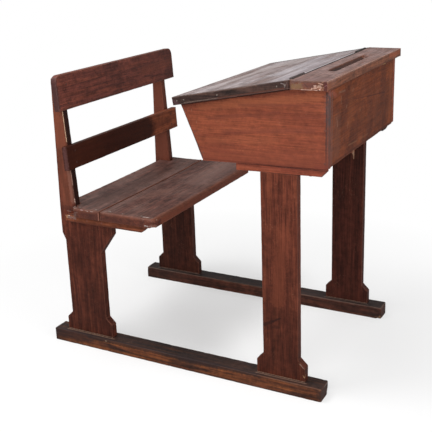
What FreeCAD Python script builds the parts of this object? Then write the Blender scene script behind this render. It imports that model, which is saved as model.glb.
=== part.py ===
"""School desk with a lift lid and an attached bench, in millimetres.

+X is the way the pupil faces: the bench is at the -X end and the desk at the +X end.
+Y is the pupil's left and +Z is up. The origin lies on the floor, under the centre of
the whole object. Lengths called "station" are measured along +X from the bench end of
the floor runners. Most pieces are made on the right, at -Y, and mirrored for the left.
"""
import FreeCAD, Part
import math
import os

Vector = FreeCAD.Vector
ALONG_X = Vector(1, 0, 0)
ALONG_Y = Vector(0, 1, 0)
ALONG_Z = Vector(0, 0, 1)
SIDES = {"right": -1, "left": 1}
QUARTER_TURN = 90
TOUCH = 0.05

# Floor runners
runner_length = 808.0
runner_width = 50.0
runner_height = 36.0
runner_arris = 3.0

# Boards that stand on the runners
frame_half_width = 258.0
board_thickness = 21.0
board_arris = 1.2
foot_height = 38.0
foot_shoulder_height = 18.0
foot_spread = 18.0

# Tenons of the standing boards
tenon_thickness = 11.0
tenon_shoulder = 12.0
mortise_floor = 10.0
upper_mortise_floor = 8.0
tenon_gap = 0.1
mortise_end_gap = 0.5

# Bench ends: shank, front bracket, step at the back, stile
bench_shank_station = 58.0
bench_shank_width = 116.0
bench_board_height = 353.0
bracket_reach = 40.0
bracket_drop = 103.0
bracket_nose = 47.0
rear_step = 9.5
rear_step_drop = 80.0
rear_step_nose = 60.0
stile_base_width = 55.0
stile_height = 366.0
stile_rear_lean = 1.2
back_lean = 3.5

# Seat boards and the cleats under their ends
seat_thickness = 24.5
seat_rear_inset = 6.0
seat_end_overhang = 8.0
rear_seat_board_width = 131.5
seat_board_gap = 3.0
front_seat_board_width = 165.5
nosing_radius = 9.0
seat_corner_radius = 14.0
stile_notch_gap = 1.0
split_reach = 6.0
cleat_thickness = 18.0
cleat_height = 18.0
cleat_bevel = 21.0
cleat_rear_inset = 14.0
cleat_front_inset = 22.0

# Back rails, planted on the leaning front edges of the stiles
rail_thickness = 16.0
middle_rail_rise = 126.5
middle_rail_width = 64.0
middle_rail_overhang = 25.0
top_rail_seat = 81.5
top_rail_width = 93.0
top_rail_overhang = 32.0
top_rail_corner_radius = 20.0

# Desk standards and the bearers on top of them
desk_shank_inset = 65.0
desk_shank_width = 93.0
desk_board_height = 526.0
bearer_length = 229.0
bearer_height = 17.5
bearer_thickness = 30.0
bearer_chamfer = 15.0

# Desk box
box_rear_reach = 74.0
box_bottom_depth = 316.6
box_front_rake = 23.0
box_rear_height = 183.5
box_side_proud = 1.0
back_panel_lift = 4.5
side_thickness = 18.0
end_panel_thickness = 16.0
bottom_thickness = 10.0
bottom_board_gap = 1.0

# Desk top: the fixed pen rail and its groove
desk_top_overhang = 26.0
pen_rail_depth = 89.0
pen_rail_thickness = 21.0
pen_rail_overhang = 8.0
pen_rail_arris = 1.5
groove_half_length = 112.0
groove_radius = 12.0
groove_depth = 10.0
groove_runout_radius = 60.0

# Desk top: the lid
lid_slope = 10.2
lid_overhang = 8.4
lid_thickness = 20.0
lid_rear_gap = 1.5
lid_rest_gap = 0.3
lipping_thickness = 9.0
lid_arris = 1.5

# Butt hinges
hinge_length = 76.0
right_hinge_inset = 23.0
left_hinge_inset = 47.0
leaf_edge_margin = 2.0
leaf_thickness = 1.5
knuckle_radius = 3.2
knuckle_count = 5
knuckle_gap = 0.3
knuckle_relief = 0.5
axis_rise = 0.5
pin_radius = 1.5
pin_head_radius = 2.4
pin_head_thickness = 0.8
fixed_pin_gap = 0.02
running_pin_gap = 0.05
leaf_screw_count = 3
leaf_screw_spacing = 26.0
leaf_screw_length = 17.0

# Fasteners: radii, and how far each reaches into the second piece
nail_radius = 1.3
nail_head_radius = 2.6
nail_head_thickness = 1.2
brad_radius = 0.9
brad_head_radius = 1.7
screw_radius = 1.4
screw_head_radius = 2.75
bearer_screw_radius = 2.2
bearer_screw_head_radius = 4.2
fastener_gap = 0.05
nail_point_margin = 4.0
nail_bite = 26.0
lipping_brad_bite = 10.0
bearer_screw_bite = 20.0
nail_margin = 16.0
seat_nail_margin = 20.0
lipping_brad_margins = (13.0, 32.0)

# Levels and places that follow from the sizes above
seat_underside = runner_height + bench_board_height
seat_top = seat_underside + seat_thickness
board_inner = frame_half_width - board_thickness
board_centre = frame_half_width - board_thickness / 2
tenon_depth = runner_height - mortise_floor
upper_tenon_depth = bearer_height - upper_mortise_floor
stile_front = bench_shank_station - rear_step + stile_base_width
seat_station = bench_shank_station + seat_rear_inset
seat_joint = seat_station + rear_seat_board_width
seat_front = seat_joint + seat_board_gap + front_seat_board_width
seat_half_length = frame_half_width + cleat_thickness + seat_end_overhang
cleat_station = seat_station + cleat_rear_inset
cleat_front = seat_front - cleat_front_inset
cleat_centre = frame_half_width + cleat_thickness / 2
top_rail_rise = stile_height - top_rail_seat
middle_rail_half_length = frame_half_width + middle_rail_overhang
top_rail_half_length = frame_half_width + top_rail_overhang
desk_shank_station = runner_length - desk_shank_inset - desk_shank_width
bearer_underside = runner_height + desk_board_height
box_floor = bearer_underside + bearer_height
box_rear = desk_shank_station + desk_shank_width + box_rear_reach
box_bottom_station = box_rear - box_bottom_depth
bottom_split = (box_bottom_station + box_rear) / 2
bearer_station = box_rear - bearer_length
box_half_width = frame_half_width + box_side_proud
side_inner = box_half_width - side_thickness
side_centre = box_half_width - side_thickness / 2
pen_rail_underside = box_floor + box_rear_height
pen_rail_top = pen_rail_underside + pen_rail_thickness
pen_rail_rear = box_rear + pen_rail_overhang
hinge_station = pen_rail_rear - pen_rail_depth
top_half_width = box_half_width + desk_top_overhang
lid_panel_half_width = top_half_width - lipping_thickness
leaf_height = min(lid_thickness, pen_rail_thickness) - leaf_edge_margin
axis_station = hinge_station - lid_rear_gap / 2
axis_height = pen_rail_top + axis_rise
hinge_centres = {"right": right_hinge_inset - box_half_width, "left": box_half_width - left_hinge_inset}
depth_centre = pen_rail_rear / 2
rake = math.tan(math.radians(box_front_rake))
slope = math.tan(math.radians(lid_slope))
slope_stretch = 1 / math.cos(math.radians(lid_slope))
raked_thickness = end_panel_thickness / math.cos(math.radians(box_front_rake))


def leaning(angle):
    """Unit vectors out of and up a face that leans back by the angle from the vertical."""
    lean = math.radians(angle)
    return Vector(math.cos(lean), 0, math.sin(lean)), Vector(-math.sin(lean), 0, math.cos(lean))


def block(x_low, x_high, y_low, y_high, z_low, z_high):
    """Box between two corners."""
    size = (x_high - x_low, y_high - y_low, z_high - z_low)
    return Part.makeBox(*size, Vector(x_low, y_low, z_low))


def rod(radius, length, start, direction):
    """Round bar from a start point."""
    return Part.makeCylinder(radius, length, start, direction)


def slab(outline, y_low, y_high):
    """Board whose outline is a list of (station, height) corners, from y_low to y_high."""
    corners = [Vector(station, y_low, height) for station, height in outline]
    face = Part.Face(Part.makePolygon(corners + corners[:1]))
    return face.extrude(ALONG_Y * (y_high - y_low))


def mirrored(shape):
    """The same piece on the other side of the centre plane."""
    return shape.mirror(Vector(0, 0, 0), ALONG_Y)


def eased(shape, radius, keep=lambda edge: True):
    """The shape with its straight edges rounded, all or those that keep picks."""
    edges = [edge for edge in shape.Edges if isinstance(edge.Curve, Part.Line) and keep(edge)]
    return shape.makeFillet(radius, edges)


def runs_along(edge, direction):
    """Whether a straight edge is parallel to the direction."""
    return edge.Curve.Direction.cross(direction).Length < TOUCH


def drilled(piece, holes):
    """The piece with all the hole tools cut from it."""
    return piece.cut(Part.makeCompound(holes))


def nail(head_top, direction, length, gap=0.0, shank=nail_radius, head=nail_head_radius):
    """Nail with a flat head; with a gap, the hole that it sits in."""
    head_solid = rod(head + gap, nail_head_thickness + gap, head_top, direction)
    return head_solid.fuse(rod(shank + gap, length + gap, head_top, direction)).removeSplitter()


def brad(head_top, direction, length, gap=0.0):
    """Thin nail with a small head."""
    return nail(head_top, direction, length, gap, brad_radius, brad_head_radius)


def screw(head_top, direction, length, gap=0.0, shank=screw_radius, head=screw_head_radius):
    """Countersunk screw, its head flush at the given point; with a gap, its hole."""
    cone = Part.makeCone(head + gap, shank + gap, head - shank, head_top, direction)
    return cone.fuse(rod(shank + gap, length + gap, head_top, direction)).removeSplitter()


# Places of the fasteners: each function gives the solids, or with a gap their holes

def seat_nail_stations():
    """Two nails in each seat board: beside the stile, both sides of the joint, and in front."""
    last = cleat_front - cleat_bevel - nail_head_radius
    return [stile_front + seat_nail_margin, seat_joint - seat_nail_margin,
            seat_joint + seat_board_gap + seat_nail_margin, last]


def cleat_nail_stations():
    """Nails of one cleat, midway between its rear end and the first three seat nails."""
    marks = [cleat_station] + seat_nail_stations()[:3]
    return [(rear + front) / 2 for rear, front in zip(marks, marks[1:])]


def seat_nails(side, gap=0.0):
    """Nails down through the seat boards' ends into one cleat."""
    y = SIDES[side] * cleat_centre
    length = seat_thickness + cleat_height - nail_point_margin
    return [nail(Vector(station, y, seat_top), -ALONG_Z, length, gap) for station in seat_nail_stations()]


def cleat_nails(side, gap=0.0):
    """Nails through one cleat into the bench end behind it."""
    sign = SIDES[side]
    length = cleat_thickness + board_thickness - nail_point_margin
    heads = [Vector(station, sign * (frame_half_width + cleat_thickness), seat_underside - cleat_height / 2)
             for station in cleat_nail_stations()]
    return [nail(head, ALONG_Y * -sign, length, gap) for head in heads]


def rail_point(rise, out):
    """Point at a distance up the stile's front edge and out from it, on the centre plane."""
    out_of_face, up_the_face = leaning(back_lean)
    return Vector(stile_front, 0, seat_underside) + up_the_face * rise + out_of_face * out


def rail_nails(rise, width, gap=0.0):
    """Two nails through a back rail into each stile, where the rail lies on it."""
    out_of_face, _ = leaning(back_lean)
    held_top = min(rise + width, stile_height)
    heads = [rail_point(level, rail_thickness) + ALONG_Y * (sign * board_centre)
             for level in (rise + nail_margin, held_top - nail_margin) for sign in SIDES.values()]
    return [nail(head, out_of_face * -1, rail_thickness + nail_bite, gap) for head in heads]


def front_face_station(height):
    """Station of the box's raked front face at a height."""
    return box_bottom_station - (height - box_floor) * rake


def side_top_height(station):
    """Height of the side's sloping top edge, under the closed lid, at a station."""
    lid_top = pen_rail_top - (hinge_station - station) * slope
    return lid_top - (lid_thickness + lid_rest_gap) * slope_stretch


def front_top_height():
    """Height at which the raked front face meets the sloping top edge."""
    level = side_top_height(box_bottom_station)
    return (level + slope * rake * box_floor) / (1 + slope * rake)


def corner_nails(side, gap=0.0):
    """Three nails through one box side into each end of the back and front panels."""
    sign = SIDES[side]
    spots = []
    for top, station in ((pen_rail_underside, lambda height: box_rear - end_panel_thickness / 2),
                         (front_top_height(), lambda height: front_face_station(height) + raked_thickness / 2)):
        for height in (box_floor + nail_margin, (box_floor + top) / 2, top - nail_margin):
            spots.append(Vector(station(height), sign * box_half_width, height))
    return [nail(spot, ALONG_Y * -sign, side_thickness + nail_bite, gap) for spot in spots]


def both_corner_nails(gap=0.0):
    """Corner nails of both box sides."""
    return corner_nails("right", gap) + corner_nails("left", gap)


def bearer_screws(side, gap=0.0):
    """Stout screws from below, through one bearer into a box side, before and behind the standard."""
    standard_front = desk_shank_station + desk_shank_width
    spots = ((bearer_station + desk_shank_station) / 2, (standard_front + box_rear - bearer_chamfer) / 2)
    heads = [Vector(station, SIDES[side] * side_centre, bearer_underside) for station in spots]
    return [screw(head, ALONG_Z, bearer_height + bearer_screw_bite, gap, bearer_screw_radius,
                  bearer_screw_head_radius) for head in heads]


def bottom_brads(side, gap=0.0):
    """Brads down through the bottom boards' ends into one bearer."""
    y = SIDES[side] * (frame_half_width - bearer_thickness + side_inner) / 2
    length = bottom_thickness + bearer_height - nail_point_margin
    stations = (bearer_station + nail_margin, bottom_split - nail_margin,
                bottom_split + nail_margin, box_rear - end_panel_thickness - nail_margin)
    return [brad(Vector(station, y, box_floor + bottom_thickness), -ALONG_Z, length, gap)
            for station in stations]


def pen_rail_nails(gap=0.0):
    """Nails down through the pen rail: one into each side and three into the back panel."""
    side_station = (hinge_station + box_rear - end_panel_thickness) / 2
    panel_station = box_rear - end_panel_thickness / 2
    panel_reach = side_inner - 3 * nail_margin
    spots = [(side_station, sign * side_centre) for sign in SIDES.values()]
    spots += [(panel_station, y) for y in (-panel_reach, 0, panel_reach)]
    return [nail(Vector(station, y, pen_rail_top), -ALONG_Z, pen_rail_thickness + nail_bite, gap)
            for station, y in spots]


def lid_point(run, depth):
    """Point on the lid: down its slope from the hinge station, and below its top face."""
    angle = math.radians(lid_slope)
    down_slope = Vector(-math.cos(angle), 0, -math.sin(angle))
    into_lid = Vector(math.sin(angle), 0, -math.cos(angle))
    return Vector(hinge_station, 0, pen_rail_top) + down_slope * run + into_lid * depth


def lid_length():
    """Length of the lid down its slope, to its overhang before the box's front panel."""
    front = front_face_station(front_top_height()) - lid_overhang
    return (hinge_station - front) * slope_stretch


def lipping_brads(side, gap=0.0):
    """Brads through one lipping strip: two by each end and one a little below the middle."""
    sign = SIDES[side]
    length = lid_length()
    runs = list(lipping_brad_margins) + [0.6 * length] + [length - margin for margin in lipping_brad_margins]
    heads = [lid_point(run, lid_thickness / 2) + ALONG_Y * (sign * top_half_width) for run in runs]
    return [brad(head, ALONG_Y * -sign, lipping_thickness + lipping_brad_bite, gap) for head in heads]


def leaf_screws(side, into, gap=0.0):
    """Screws of one hinge leaf; into is +1 for the pen rail and -1 for the lid."""
    face = axis_station + into * lid_rear_gap / 2
    height = pen_rail_top - (leaf_height + knuckle_radius) / 2
    middle = (leaf_screw_count - 1) / 2
    heads = [Vector(face, hinge_centres[side] + (number - middle) * leaf_screw_spacing, height)
             for number in range(leaf_screw_count)]
    return [screw(head, ALONG_X * into, leaf_screw_length, gap) for head in heads]


# Floor frame

def tenon_block(station, width, height, depth, up, gap=0.0):
    """Tenon of a standing board, from a shoulder at the height; with a gap, its mortise."""
    reach = depth + (mortise_end_gap if gap else 0.0)
    low, high = (height, height + reach) if up else (height - reach, height)
    half = tenon_thickness / 2 + gap
    return block(station + tenon_shoulder - gap, station + width - tenon_shoulder + gap,
                 -board_centre - half, -board_centre + half, low, high)


def runner():
    """Right floor runner with a mortise for each board that stands on it."""
    half = runner_width / 2
    bar = block(0, runner_length, -board_centre - half, -board_centre + half, 0, runner_height)
    boards = ((bench_shank_station, bench_shank_width), (desk_shank_station, desk_shank_width))
    mortises = [tenon_block(station, width, runner_height, tenon_depth, False, tenon_gap)
                for station, width in boards]
    return drilled(eased(bar, runner_arris), mortises)


def foot_outline(station, width):
    """Corners of a board's foot, from the rear shank over the floor to the front shank."""
    shoulder = runner_height + foot_height
    shank = shoulder + foot_shoulder_height
    rear, front = station, station + width
    return [(rear, shank), (rear - foot_spread, shoulder), (rear - foot_spread, runner_height),
            (front + foot_spread, runner_height), (front + foot_spread, shoulder), (front, shank)]


def standing_board(outline):
    """Right board of the frame with softened face edges."""
    board = slab(outline, -frame_half_width, -board_inner)
    return eased(board, board_arris, lambda edge: not runs_along(edge, ALONG_Y))


def bench_end():
    """Right bench end: foot, shank, front bracket and back stile in one board."""
    rear = bench_shank_station
    front = rear + bench_shank_width
    step_rear = rear - rear_step
    stile_top = seat_underside + stile_height
    rear_lean = math.tan(math.radians(stile_rear_lean)) * stile_height
    front_lean = math.tan(math.radians(back_lean)) * stile_height
    outline = foot_outline(rear, bench_shank_width) + [
        (front, seat_underside - bracket_drop),
        (front + bracket_reach, seat_underside - bracket_nose),
        (front + bracket_reach, seat_underside),
        (stile_front, seat_underside),
        (stile_front - front_lean, stile_top),
        (step_rear + rear_lean, stile_top),
        (step_rear, seat_underside),
        (step_rear, seat_underside - rear_step_nose),
        (rear, seat_underside - rear_step_drop)]
    tenon = tenon_block(rear, bench_shank_width, runner_height, tenon_depth, False)
    board = standing_board(outline).fuse(tenon).removeSplitter()
    holes = cleat_nails("right", fastener_gap)
    holes += rail_nails(middle_rail_rise, middle_rail_width, fastener_gap)
    holes += rail_nails(top_rail_rise, top_rail_width, fastener_gap)
    return drilled(board, holes)


def desk_standard():
    """Right desk standard, tenoned into the runner below and the bearer above."""
    front = desk_shank_station + desk_shank_width
    outline = foot_outline(desk_shank_station, desk_shank_width)
    outline += [(front, bearer_underside), (desk_shank_station, bearer_underside)]
    place = (desk_shank_station, desk_shank_width)
    tenons = [tenon_block(*place, runner_height, tenon_depth, False),
              tenon_block(*place, bearer_underside, upper_tenon_depth, True)]
    return standing_board(outline).fuse(tenons).removeSplitter()


# Bench

def cleat():
    """Right seat cleat, bevelled under its front end."""
    low = seat_underside - cleat_height
    outline = [(cleat_station, low), (cleat_front - cleat_bevel, low), (cleat_front, seat_underside),
               (cleat_station, seat_underside)]
    outer = -frame_half_width - cleat_thickness
    strip = slab(outline, outer, -frame_half_width)
    strip = eased(strip, board_arris, lambda edge: edge.BoundBox.YMax < outer + TOUCH)
    return drilled(strip, cleat_nails("right", fastener_gap) + seat_nails("right", fastener_gap))


def seat_board(rear, front):
    """Plain seat board between two stations."""
    return block(rear, front, -seat_half_length, seat_half_length, seat_underside, seat_top)


def seat_holes():
    """Nail holes of both seat boards, at both ends."""
    return seat_nails("right", fastener_gap) + seat_nails("left", fastener_gap)


def rear_seat_board():
    """Rear seat board, notched round the stiles; the right one's outer ear has split off along the grain."""
    board = seat_board(seat_station, seat_joint)
    ends = [edge for edge in board.Edges if runs_along(edge, ALONG_X) and edge.BoundBox.ZMin > seat_top - TOUCH]
    board = board.makeFillet(nosing_radius, ends)
    board = eased(board, board_arris, lambda edge: runs_along(edge, ALONG_Y))
    gap = stile_notch_gap
    notch = block(seat_station - gap, stile_front + gap, -frame_half_width - gap, -board_inner + gap,
                  seat_underside - gap, seat_top + gap)
    split = block(seat_station - gap, stile_front + split_reach, -seat_half_length - gap, -frame_half_width,
                  seat_underside - gap, seat_top + gap)
    return drilled(board, [notch, mirrored(notch), split] + seat_holes())


def front_seat_board():
    """Front seat board with a rounded nosing and rounded front corners."""
    rear = seat_joint + seat_board_gap
    board = seat_board(rear, seat_front)
    corners = [edge for edge in board.Edges
               if runs_along(edge, ALONG_Z) and edge.BoundBox.XMin > seat_front - TOUCH]
    board = board.makeFillet(seat_corner_radius, corners)
    rim = [edge for edge in board.Edges
           if edge.BoundBox.ZMin > seat_top - TOUCH and edge.BoundBox.XMax > rear + TOUCH]
    board = board.makeFillet(nosing_radius, rim)
    return drilled(board, seat_holes())


def back_rail(rise, width, half_length, corner_radius=None):
    """Board planted on the stiles' leaning front edges."""
    out_of_face, _ = leaning(back_lean)
    corners = [rail_point(rise, 0), rail_point(rise, rail_thickness),
               rail_point(rise + width, rail_thickness), rail_point(rise + width, 0)]
    corners = [corner - ALONG_Y * half_length for corner in corners]
    face = Part.Face(Part.makePolygon(corners + corners[:1]))
    board = face.extrude(ALONG_Y * (2 * half_length))
    if corner_radius:
        middle = rail_point(rise + width / 2, 0).z
        upper = [edge for edge in board.Edges
                 if runs_along(edge, out_of_face) and edge.CenterOfMass.z > middle]
        board = board.makeFillet(corner_radius, upper)
    board = eased(board, board_arris, lambda edge: runs_along(edge, ALONG_Y))
    return drilled(board, rail_nails(rise, width, fastener_gap))


# Desk

def bearer():
    """Right desk bearer, chamfered under its rear end, with the standard's mortise."""
    low = bearer_underside
    outline = [(bearer_station, low), (box_rear - bearer_chamfer, low), (box_rear, low + bearer_chamfer),
               (box_rear, box_floor), (bearer_station, box_floor)]
    bar = slab(outline, -frame_half_width, bearer_thickness - frame_half_width)
    mortise = tenon_block(desk_shank_station, desk_shank_width, low, upper_tenon_depth, True, tenon_gap)
    return drilled(bar, [mortise] + bottom_brads("right", fastener_gap) + bearer_screws("right", fastener_gap))


def box_side():
    """Right side of the box: raked front, sloping top, level part under the pen rail."""
    top = front_top_height()
    step = min(side_top_height(hinge_station), pen_rail_underside)
    outline = [(box_bottom_station, box_floor), (box_rear, box_floor), (box_rear, pen_rail_underside),
               (hinge_station, pen_rail_underside), (hinge_station, step), (front_face_station(top), top)]
    if pen_rail_underside - step < TOUCH:
        outline.remove((hinge_station, step))
    side = slab(outline, -box_half_width, -side_inner)
    holes = corner_nails("right", fastener_gap) + pen_rail_nails(fastener_gap)
    return drilled(side, holes + bearer_screws("right", fastener_gap))


def back_panel():
    """Back panel between the sides, a little short of the box's floor."""
    panel = block(box_rear - end_panel_thickness, box_rear, -side_inner, side_inner,
                  box_floor + back_panel_lift, pen_rail_underside)
    return drilled(panel, both_corner_nails(fastener_gap) + pen_rail_nails(fastener_gap))


def front_panel():
    """Raked front panel between the sides, its top edge cut to the lid's slope."""
    top = front_top_height()
    inner_top = top + slope * raked_thickness / (1 + slope * rake)
    outline = [(box_bottom_station, box_floor), (box_bottom_station + raked_thickness, box_floor),
               (front_face_station(inner_top) + raked_thickness, inner_top), (front_face_station(top), top)]
    return drilled(slab(outline, -side_inner, side_inner), both_corner_nails(fastener_gap))


def bottom_boards():
    """Front and rear bottom boards, the front one cut to the rake of the front panel."""
    top = box_floor + bottom_thickness
    front_edge = bottom_split - bottom_board_gap / 2
    outline = [(box_bottom_station + raked_thickness, box_floor), (front_edge, box_floor), (front_edge, top),
               (front_face_station(top) + raked_thickness, top)]
    front = slab(outline, -side_inner, side_inner)
    rear = block(bottom_split + bottom_board_gap / 2, box_rear - end_panel_thickness,
                 -side_inner, side_inner, box_floor, top)
    holes = bottom_brads("right", fastener_gap) + bottom_brads("left", fastener_gap)
    return drilled(front, holes), drilled(rear, holes)


def pen_groove():
    """Round-bottomed groove whose ends run out to the surface in an arc."""
    middle = (pen_rail_rear + hinge_station) / 2
    level = pen_rail_top - groove_depth + groove_radius
    start = Vector(middle, -groove_half_length, level)
    trough = rod(groove_radius, 2 * groove_half_length, start, ALONG_Y)
    upper = block(middle - groove_radius, middle + groove_radius, -groove_half_length, groove_half_length,
                  level, pen_rail_top + groove_radius)
    circle = Part.Face(Part.Wire(Part.makeCircle(groove_radius, start, ALONG_Y)))
    runout = circle.revolve(start + ALONG_Z * groove_runout_radius, ALONG_X * -1, QUARTER_TURN)
    return [trough, upper, runout, mirrored(runout)]


def hinge_relief(side):
    """Round rebate for one hinge's knuckles, and the seats of both its leaves."""
    centre = hinge_centres[side]
    half = hinge_length / 2 + pin_head_thickness + knuckle_relief
    rebate = rod(knuckle_radius + knuckle_relief, 2 * half, Vector(axis_station, centre - half, axis_height),
                 ALONG_Y)
    seat_depth = lid_rear_gap / 2 + leaf_thickness
    seat_half = hinge_length / 2 + fastener_gap
    seats = block(axis_station - seat_depth, axis_station + seat_depth, centre - seat_half, centre + seat_half,
                  pen_rail_top - leaf_height - fastener_gap, axis_height)
    return [rebate, seats]


def pen_rail():
    """Fixed ledge with the pen groove and the seats of the hinges."""
    rail = block(hinge_station, pen_rail_rear, -top_half_width, top_half_width,
                 pen_rail_underside, pen_rail_top)
    rail = eased(rail, pen_rail_arris, lambda edge: edge.BoundBox.XMax > hinge_station + TOUCH)
    cuts = pen_groove() + pen_rail_nails(fastener_gap)
    for side in SIDES:
        cuts += hinge_relief(side) + leaf_screws(side, 1, fastener_gap)
    for tool in cuts:
        rail = rail.cut(tool)
    return rail


# Lid

def lid_outline():
    """Corners of the lid in side view; its rear edge is upright when it is closed."""
    rear = hinge_station - lid_rear_gap
    rear_top = pen_rail_top - lid_rear_gap * slope
    rear_bottom = rear_top - lid_thickness * slope_stretch
    front_top = lid_point(lid_length(), 0)
    front_bottom = lid_point(lid_length(), lid_thickness)
    return [(rear, rear_top), (rear, rear_bottom), (front_bottom.x, front_bottom.z), (front_top.x, front_top.z)]


def with_lid_cuts(piece):
    """A piece of the lid with its share of the hinge seats, screw holes and brad holes."""
    cuts = lipping_brads("right", fastener_gap) + lipping_brads("left", fastener_gap)
    for side in SIDES:
        cuts += hinge_relief(side) + leaf_screws(side, -1, fastener_gap)
    for tool in cuts:
        piece = piece.cut(tool)
    return piece


def lid_panel():
    """Writing board of the lid, between the lippings, its front edge softened."""
    panel = slab(lid_outline(), -lid_panel_half_width, lid_panel_half_width)
    front = lid_point(lid_length(), lid_thickness).x + TOUCH
    panel = eased(panel, lid_arris, lambda edge: runs_along(edge, ALONG_Y) and edge.BoundBox.XMax < front)
    return with_lid_cuts(panel)


def lipping(side):
    """Strip nailed to one end of the lid panel."""
    strip = slab(lid_outline(), -top_half_width, -lid_panel_half_width)
    strip = eased(strip, lid_arris, lambda edge: edge.BoundBox.YMax < -top_half_width + TOUCH)
    return with_lid_cuts(strip if side == "right" else mirrored(strip))


# Hinges

def knuckles(side, first):
    """Every second knuckle of one hinge, starting with the one called first."""
    pitch = hinge_length / knuckle_count
    low = hinge_centres[side] - hinge_length / 2 + knuckle_gap / 2
    starts = [Vector(axis_station, low + number * pitch, axis_height)
              for number in range(first, knuckle_count, 2)]
    return [rod(knuckle_radius, pitch - knuckle_gap, start, ALONG_Y) for start in starts]


def hinge_leaf(side, into):
    """One leaf with its knuckles; into is +1 for the pen rail and -1 for the lid."""
    centre = hinge_centres[side]
    inner = axis_station + into * lid_rear_gap / 2
    low, high = sorted((inner, inner + into * leaf_thickness))
    clear = axis_height - knuckle_radius - knuckle_relief
    leaf = block(low, high, centre - hinge_length / 2, centre + hinge_length / 2,
                 pen_rail_top - leaf_height, clear)
    for barrel in knuckles(side, 0 if into > 0 else 1):
        reach = barrel.BoundBox
        neck = block(low, high, reach.YMin, reach.YMax, clear - leaf_thickness, axis_height)
        leaf = leaf.fuse([neck, barrel])
    bore_radius = pin_radius + (fixed_pin_gap if into > 0 else running_pin_gap)
    bore = rod(bore_radius, 2 * hinge_length, Vector(axis_station, centre - hinge_length, axis_height), ALONG_Y)
    return drilled(leaf.removeSplitter(), [bore] + leaf_screws(side, into, fastener_gap))


def hinge_pin(side):
    """Pin through all knuckles of one hinge, with a small head at each end."""
    ends = {sign: Vector(axis_station, hinge_centres[side] + sign * hinge_length / 2, axis_height)
            for sign in SIDES.values()}
    pin = rod(pin_radius, hinge_length, ends[-1], ALONG_Y)
    heads = [rod(pin_head_radius, pin_head_thickness, end, ALONG_Y * sign) for sign, end in ends.items()]
    return pin.fuse(heads).removeSplitter()


# Whole desk

def wooden_pieces():
    """Every piece of wood, by the name of its node."""
    front_bottom, rear_bottom = bottom_boards()
    pieces = {
        "rear_seat_board": rear_seat_board(),
        "front_seat_board": front_seat_board(),
        "middle_back_rail": back_rail(middle_rail_rise, middle_rail_width, middle_rail_half_length),
        "top_back_rail": back_rail(top_rail_rise, top_rail_width, top_rail_half_length, top_rail_corner_radius),
        "box_back_panel": back_panel(),
        "box_front_panel": front_panel(),
        "front_bottom_board": front_bottom,
        "rear_bottom_board": rear_bottom,
        "pen_rail": pen_rail(),
        "lid_panel": lid_panel(),
    }
    handed = {"runner": runner(), "bench_end": bench_end(), "desk_standard": desk_standard(),
              "seat_cleat": cleat(), "desk_bearer": bearer(), "box_side": box_side()}
    for name, piece in handed.items():
        pieces["right_" + name] = piece
        pieces["left_" + name] = mirrored(piece)
    for side in SIDES:
        pieces[side + "_lid_lipping"] = lipping(side)
    return pieces


def hinge_pieces():
    """Both leaves and the pin of each hinge, by the name of the node."""
    pieces = {}
    for side in SIDES:
        pieces[side + "_hinge_rail_leaf"] = hinge_leaf(side, 1)
        pieces[side + "_hinge_lid_leaf"] = hinge_leaf(side, -1)
        pieces[side + "_hinge_pin"] = hinge_pin(side)
    return pieces


def fastener_groups():
    """Like fasteners as one node of separate solids each."""
    groups = {
        "seat_nails": seat_nails("right") + seat_nails("left"),
        "cleat_nails": cleat_nails("right") + cleat_nails("left"),
        "back_rail_nails": rail_nails(middle_rail_rise, middle_rail_width)
        + rail_nails(top_rail_rise, top_rail_width),
        "box_corner_nails": both_corner_nails(),
        "bottom_board_brads": bottom_brads("right") + bottom_brads("left"),
        "pen_rail_nails": pen_rail_nails(),
        "bearer_screws": bearer_screws("right") + bearer_screws("left"),
        "lipping_brads": lipping_brads("right") + lipping_brads("left"),
        "rail_leaf_screws": leaf_screws("right", 1) + leaf_screws("left", 1),
        "lid_leaf_screws": leaf_screws("right", -1) + leaf_screws("left", -1),
    }
    return {name: Part.makeCompound(solids) for name, solids in groups.items()}


os.makedirs("parts", exist_ok=True)
for node, shape in {**wooden_pieces(), **hinge_pieces(), **fastener_groups()}.items():
    placed = shape.translated(Vector(-depth_centre, 0, 0))
    placed.exportStep("parts/" + node + ".step")
    print(node, len(placed.Solids), "solids, valid:", placed.isValid(), "cm3:", round(placed.Volume / 1000, 2))
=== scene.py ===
"""School desk with lift lid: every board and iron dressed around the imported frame.

Lengths are millimetres from the runners' bench end, at the floor, unless a name says otherwise.
Tints are display colours, written 0xRRGGBB.
"""
from __future__ import annotations

import logging
import math
from dataclasses import dataclass, replace
from enum import Enum
from typing import Callable, Sequence

import bpy
import numpy as np
from mathutils import Matrix, Vector, noise
from mathutils.geometry import delaunay_2d_cdt

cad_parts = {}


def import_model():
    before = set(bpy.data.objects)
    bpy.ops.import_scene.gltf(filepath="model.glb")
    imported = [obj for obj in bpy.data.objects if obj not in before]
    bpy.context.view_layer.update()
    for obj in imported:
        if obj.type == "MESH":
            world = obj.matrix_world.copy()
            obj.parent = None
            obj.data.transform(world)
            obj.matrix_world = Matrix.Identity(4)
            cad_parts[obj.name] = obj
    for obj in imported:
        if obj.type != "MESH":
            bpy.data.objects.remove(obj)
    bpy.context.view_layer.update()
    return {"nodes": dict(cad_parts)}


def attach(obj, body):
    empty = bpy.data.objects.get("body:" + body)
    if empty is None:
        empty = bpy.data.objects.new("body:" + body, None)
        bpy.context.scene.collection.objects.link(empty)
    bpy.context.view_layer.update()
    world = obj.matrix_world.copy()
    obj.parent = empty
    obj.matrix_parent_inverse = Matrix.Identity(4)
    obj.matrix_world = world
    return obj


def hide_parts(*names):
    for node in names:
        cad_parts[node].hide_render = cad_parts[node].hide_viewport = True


MM = 0.001
MIDDLE_STATION = 412.5
UNBOUNDED = 99.0
ROUNDED_TURN = 0.15
SHARP_TURN = 0.3
ARC_STEP = 1.1
RUB_CELL = 17.0
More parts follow.
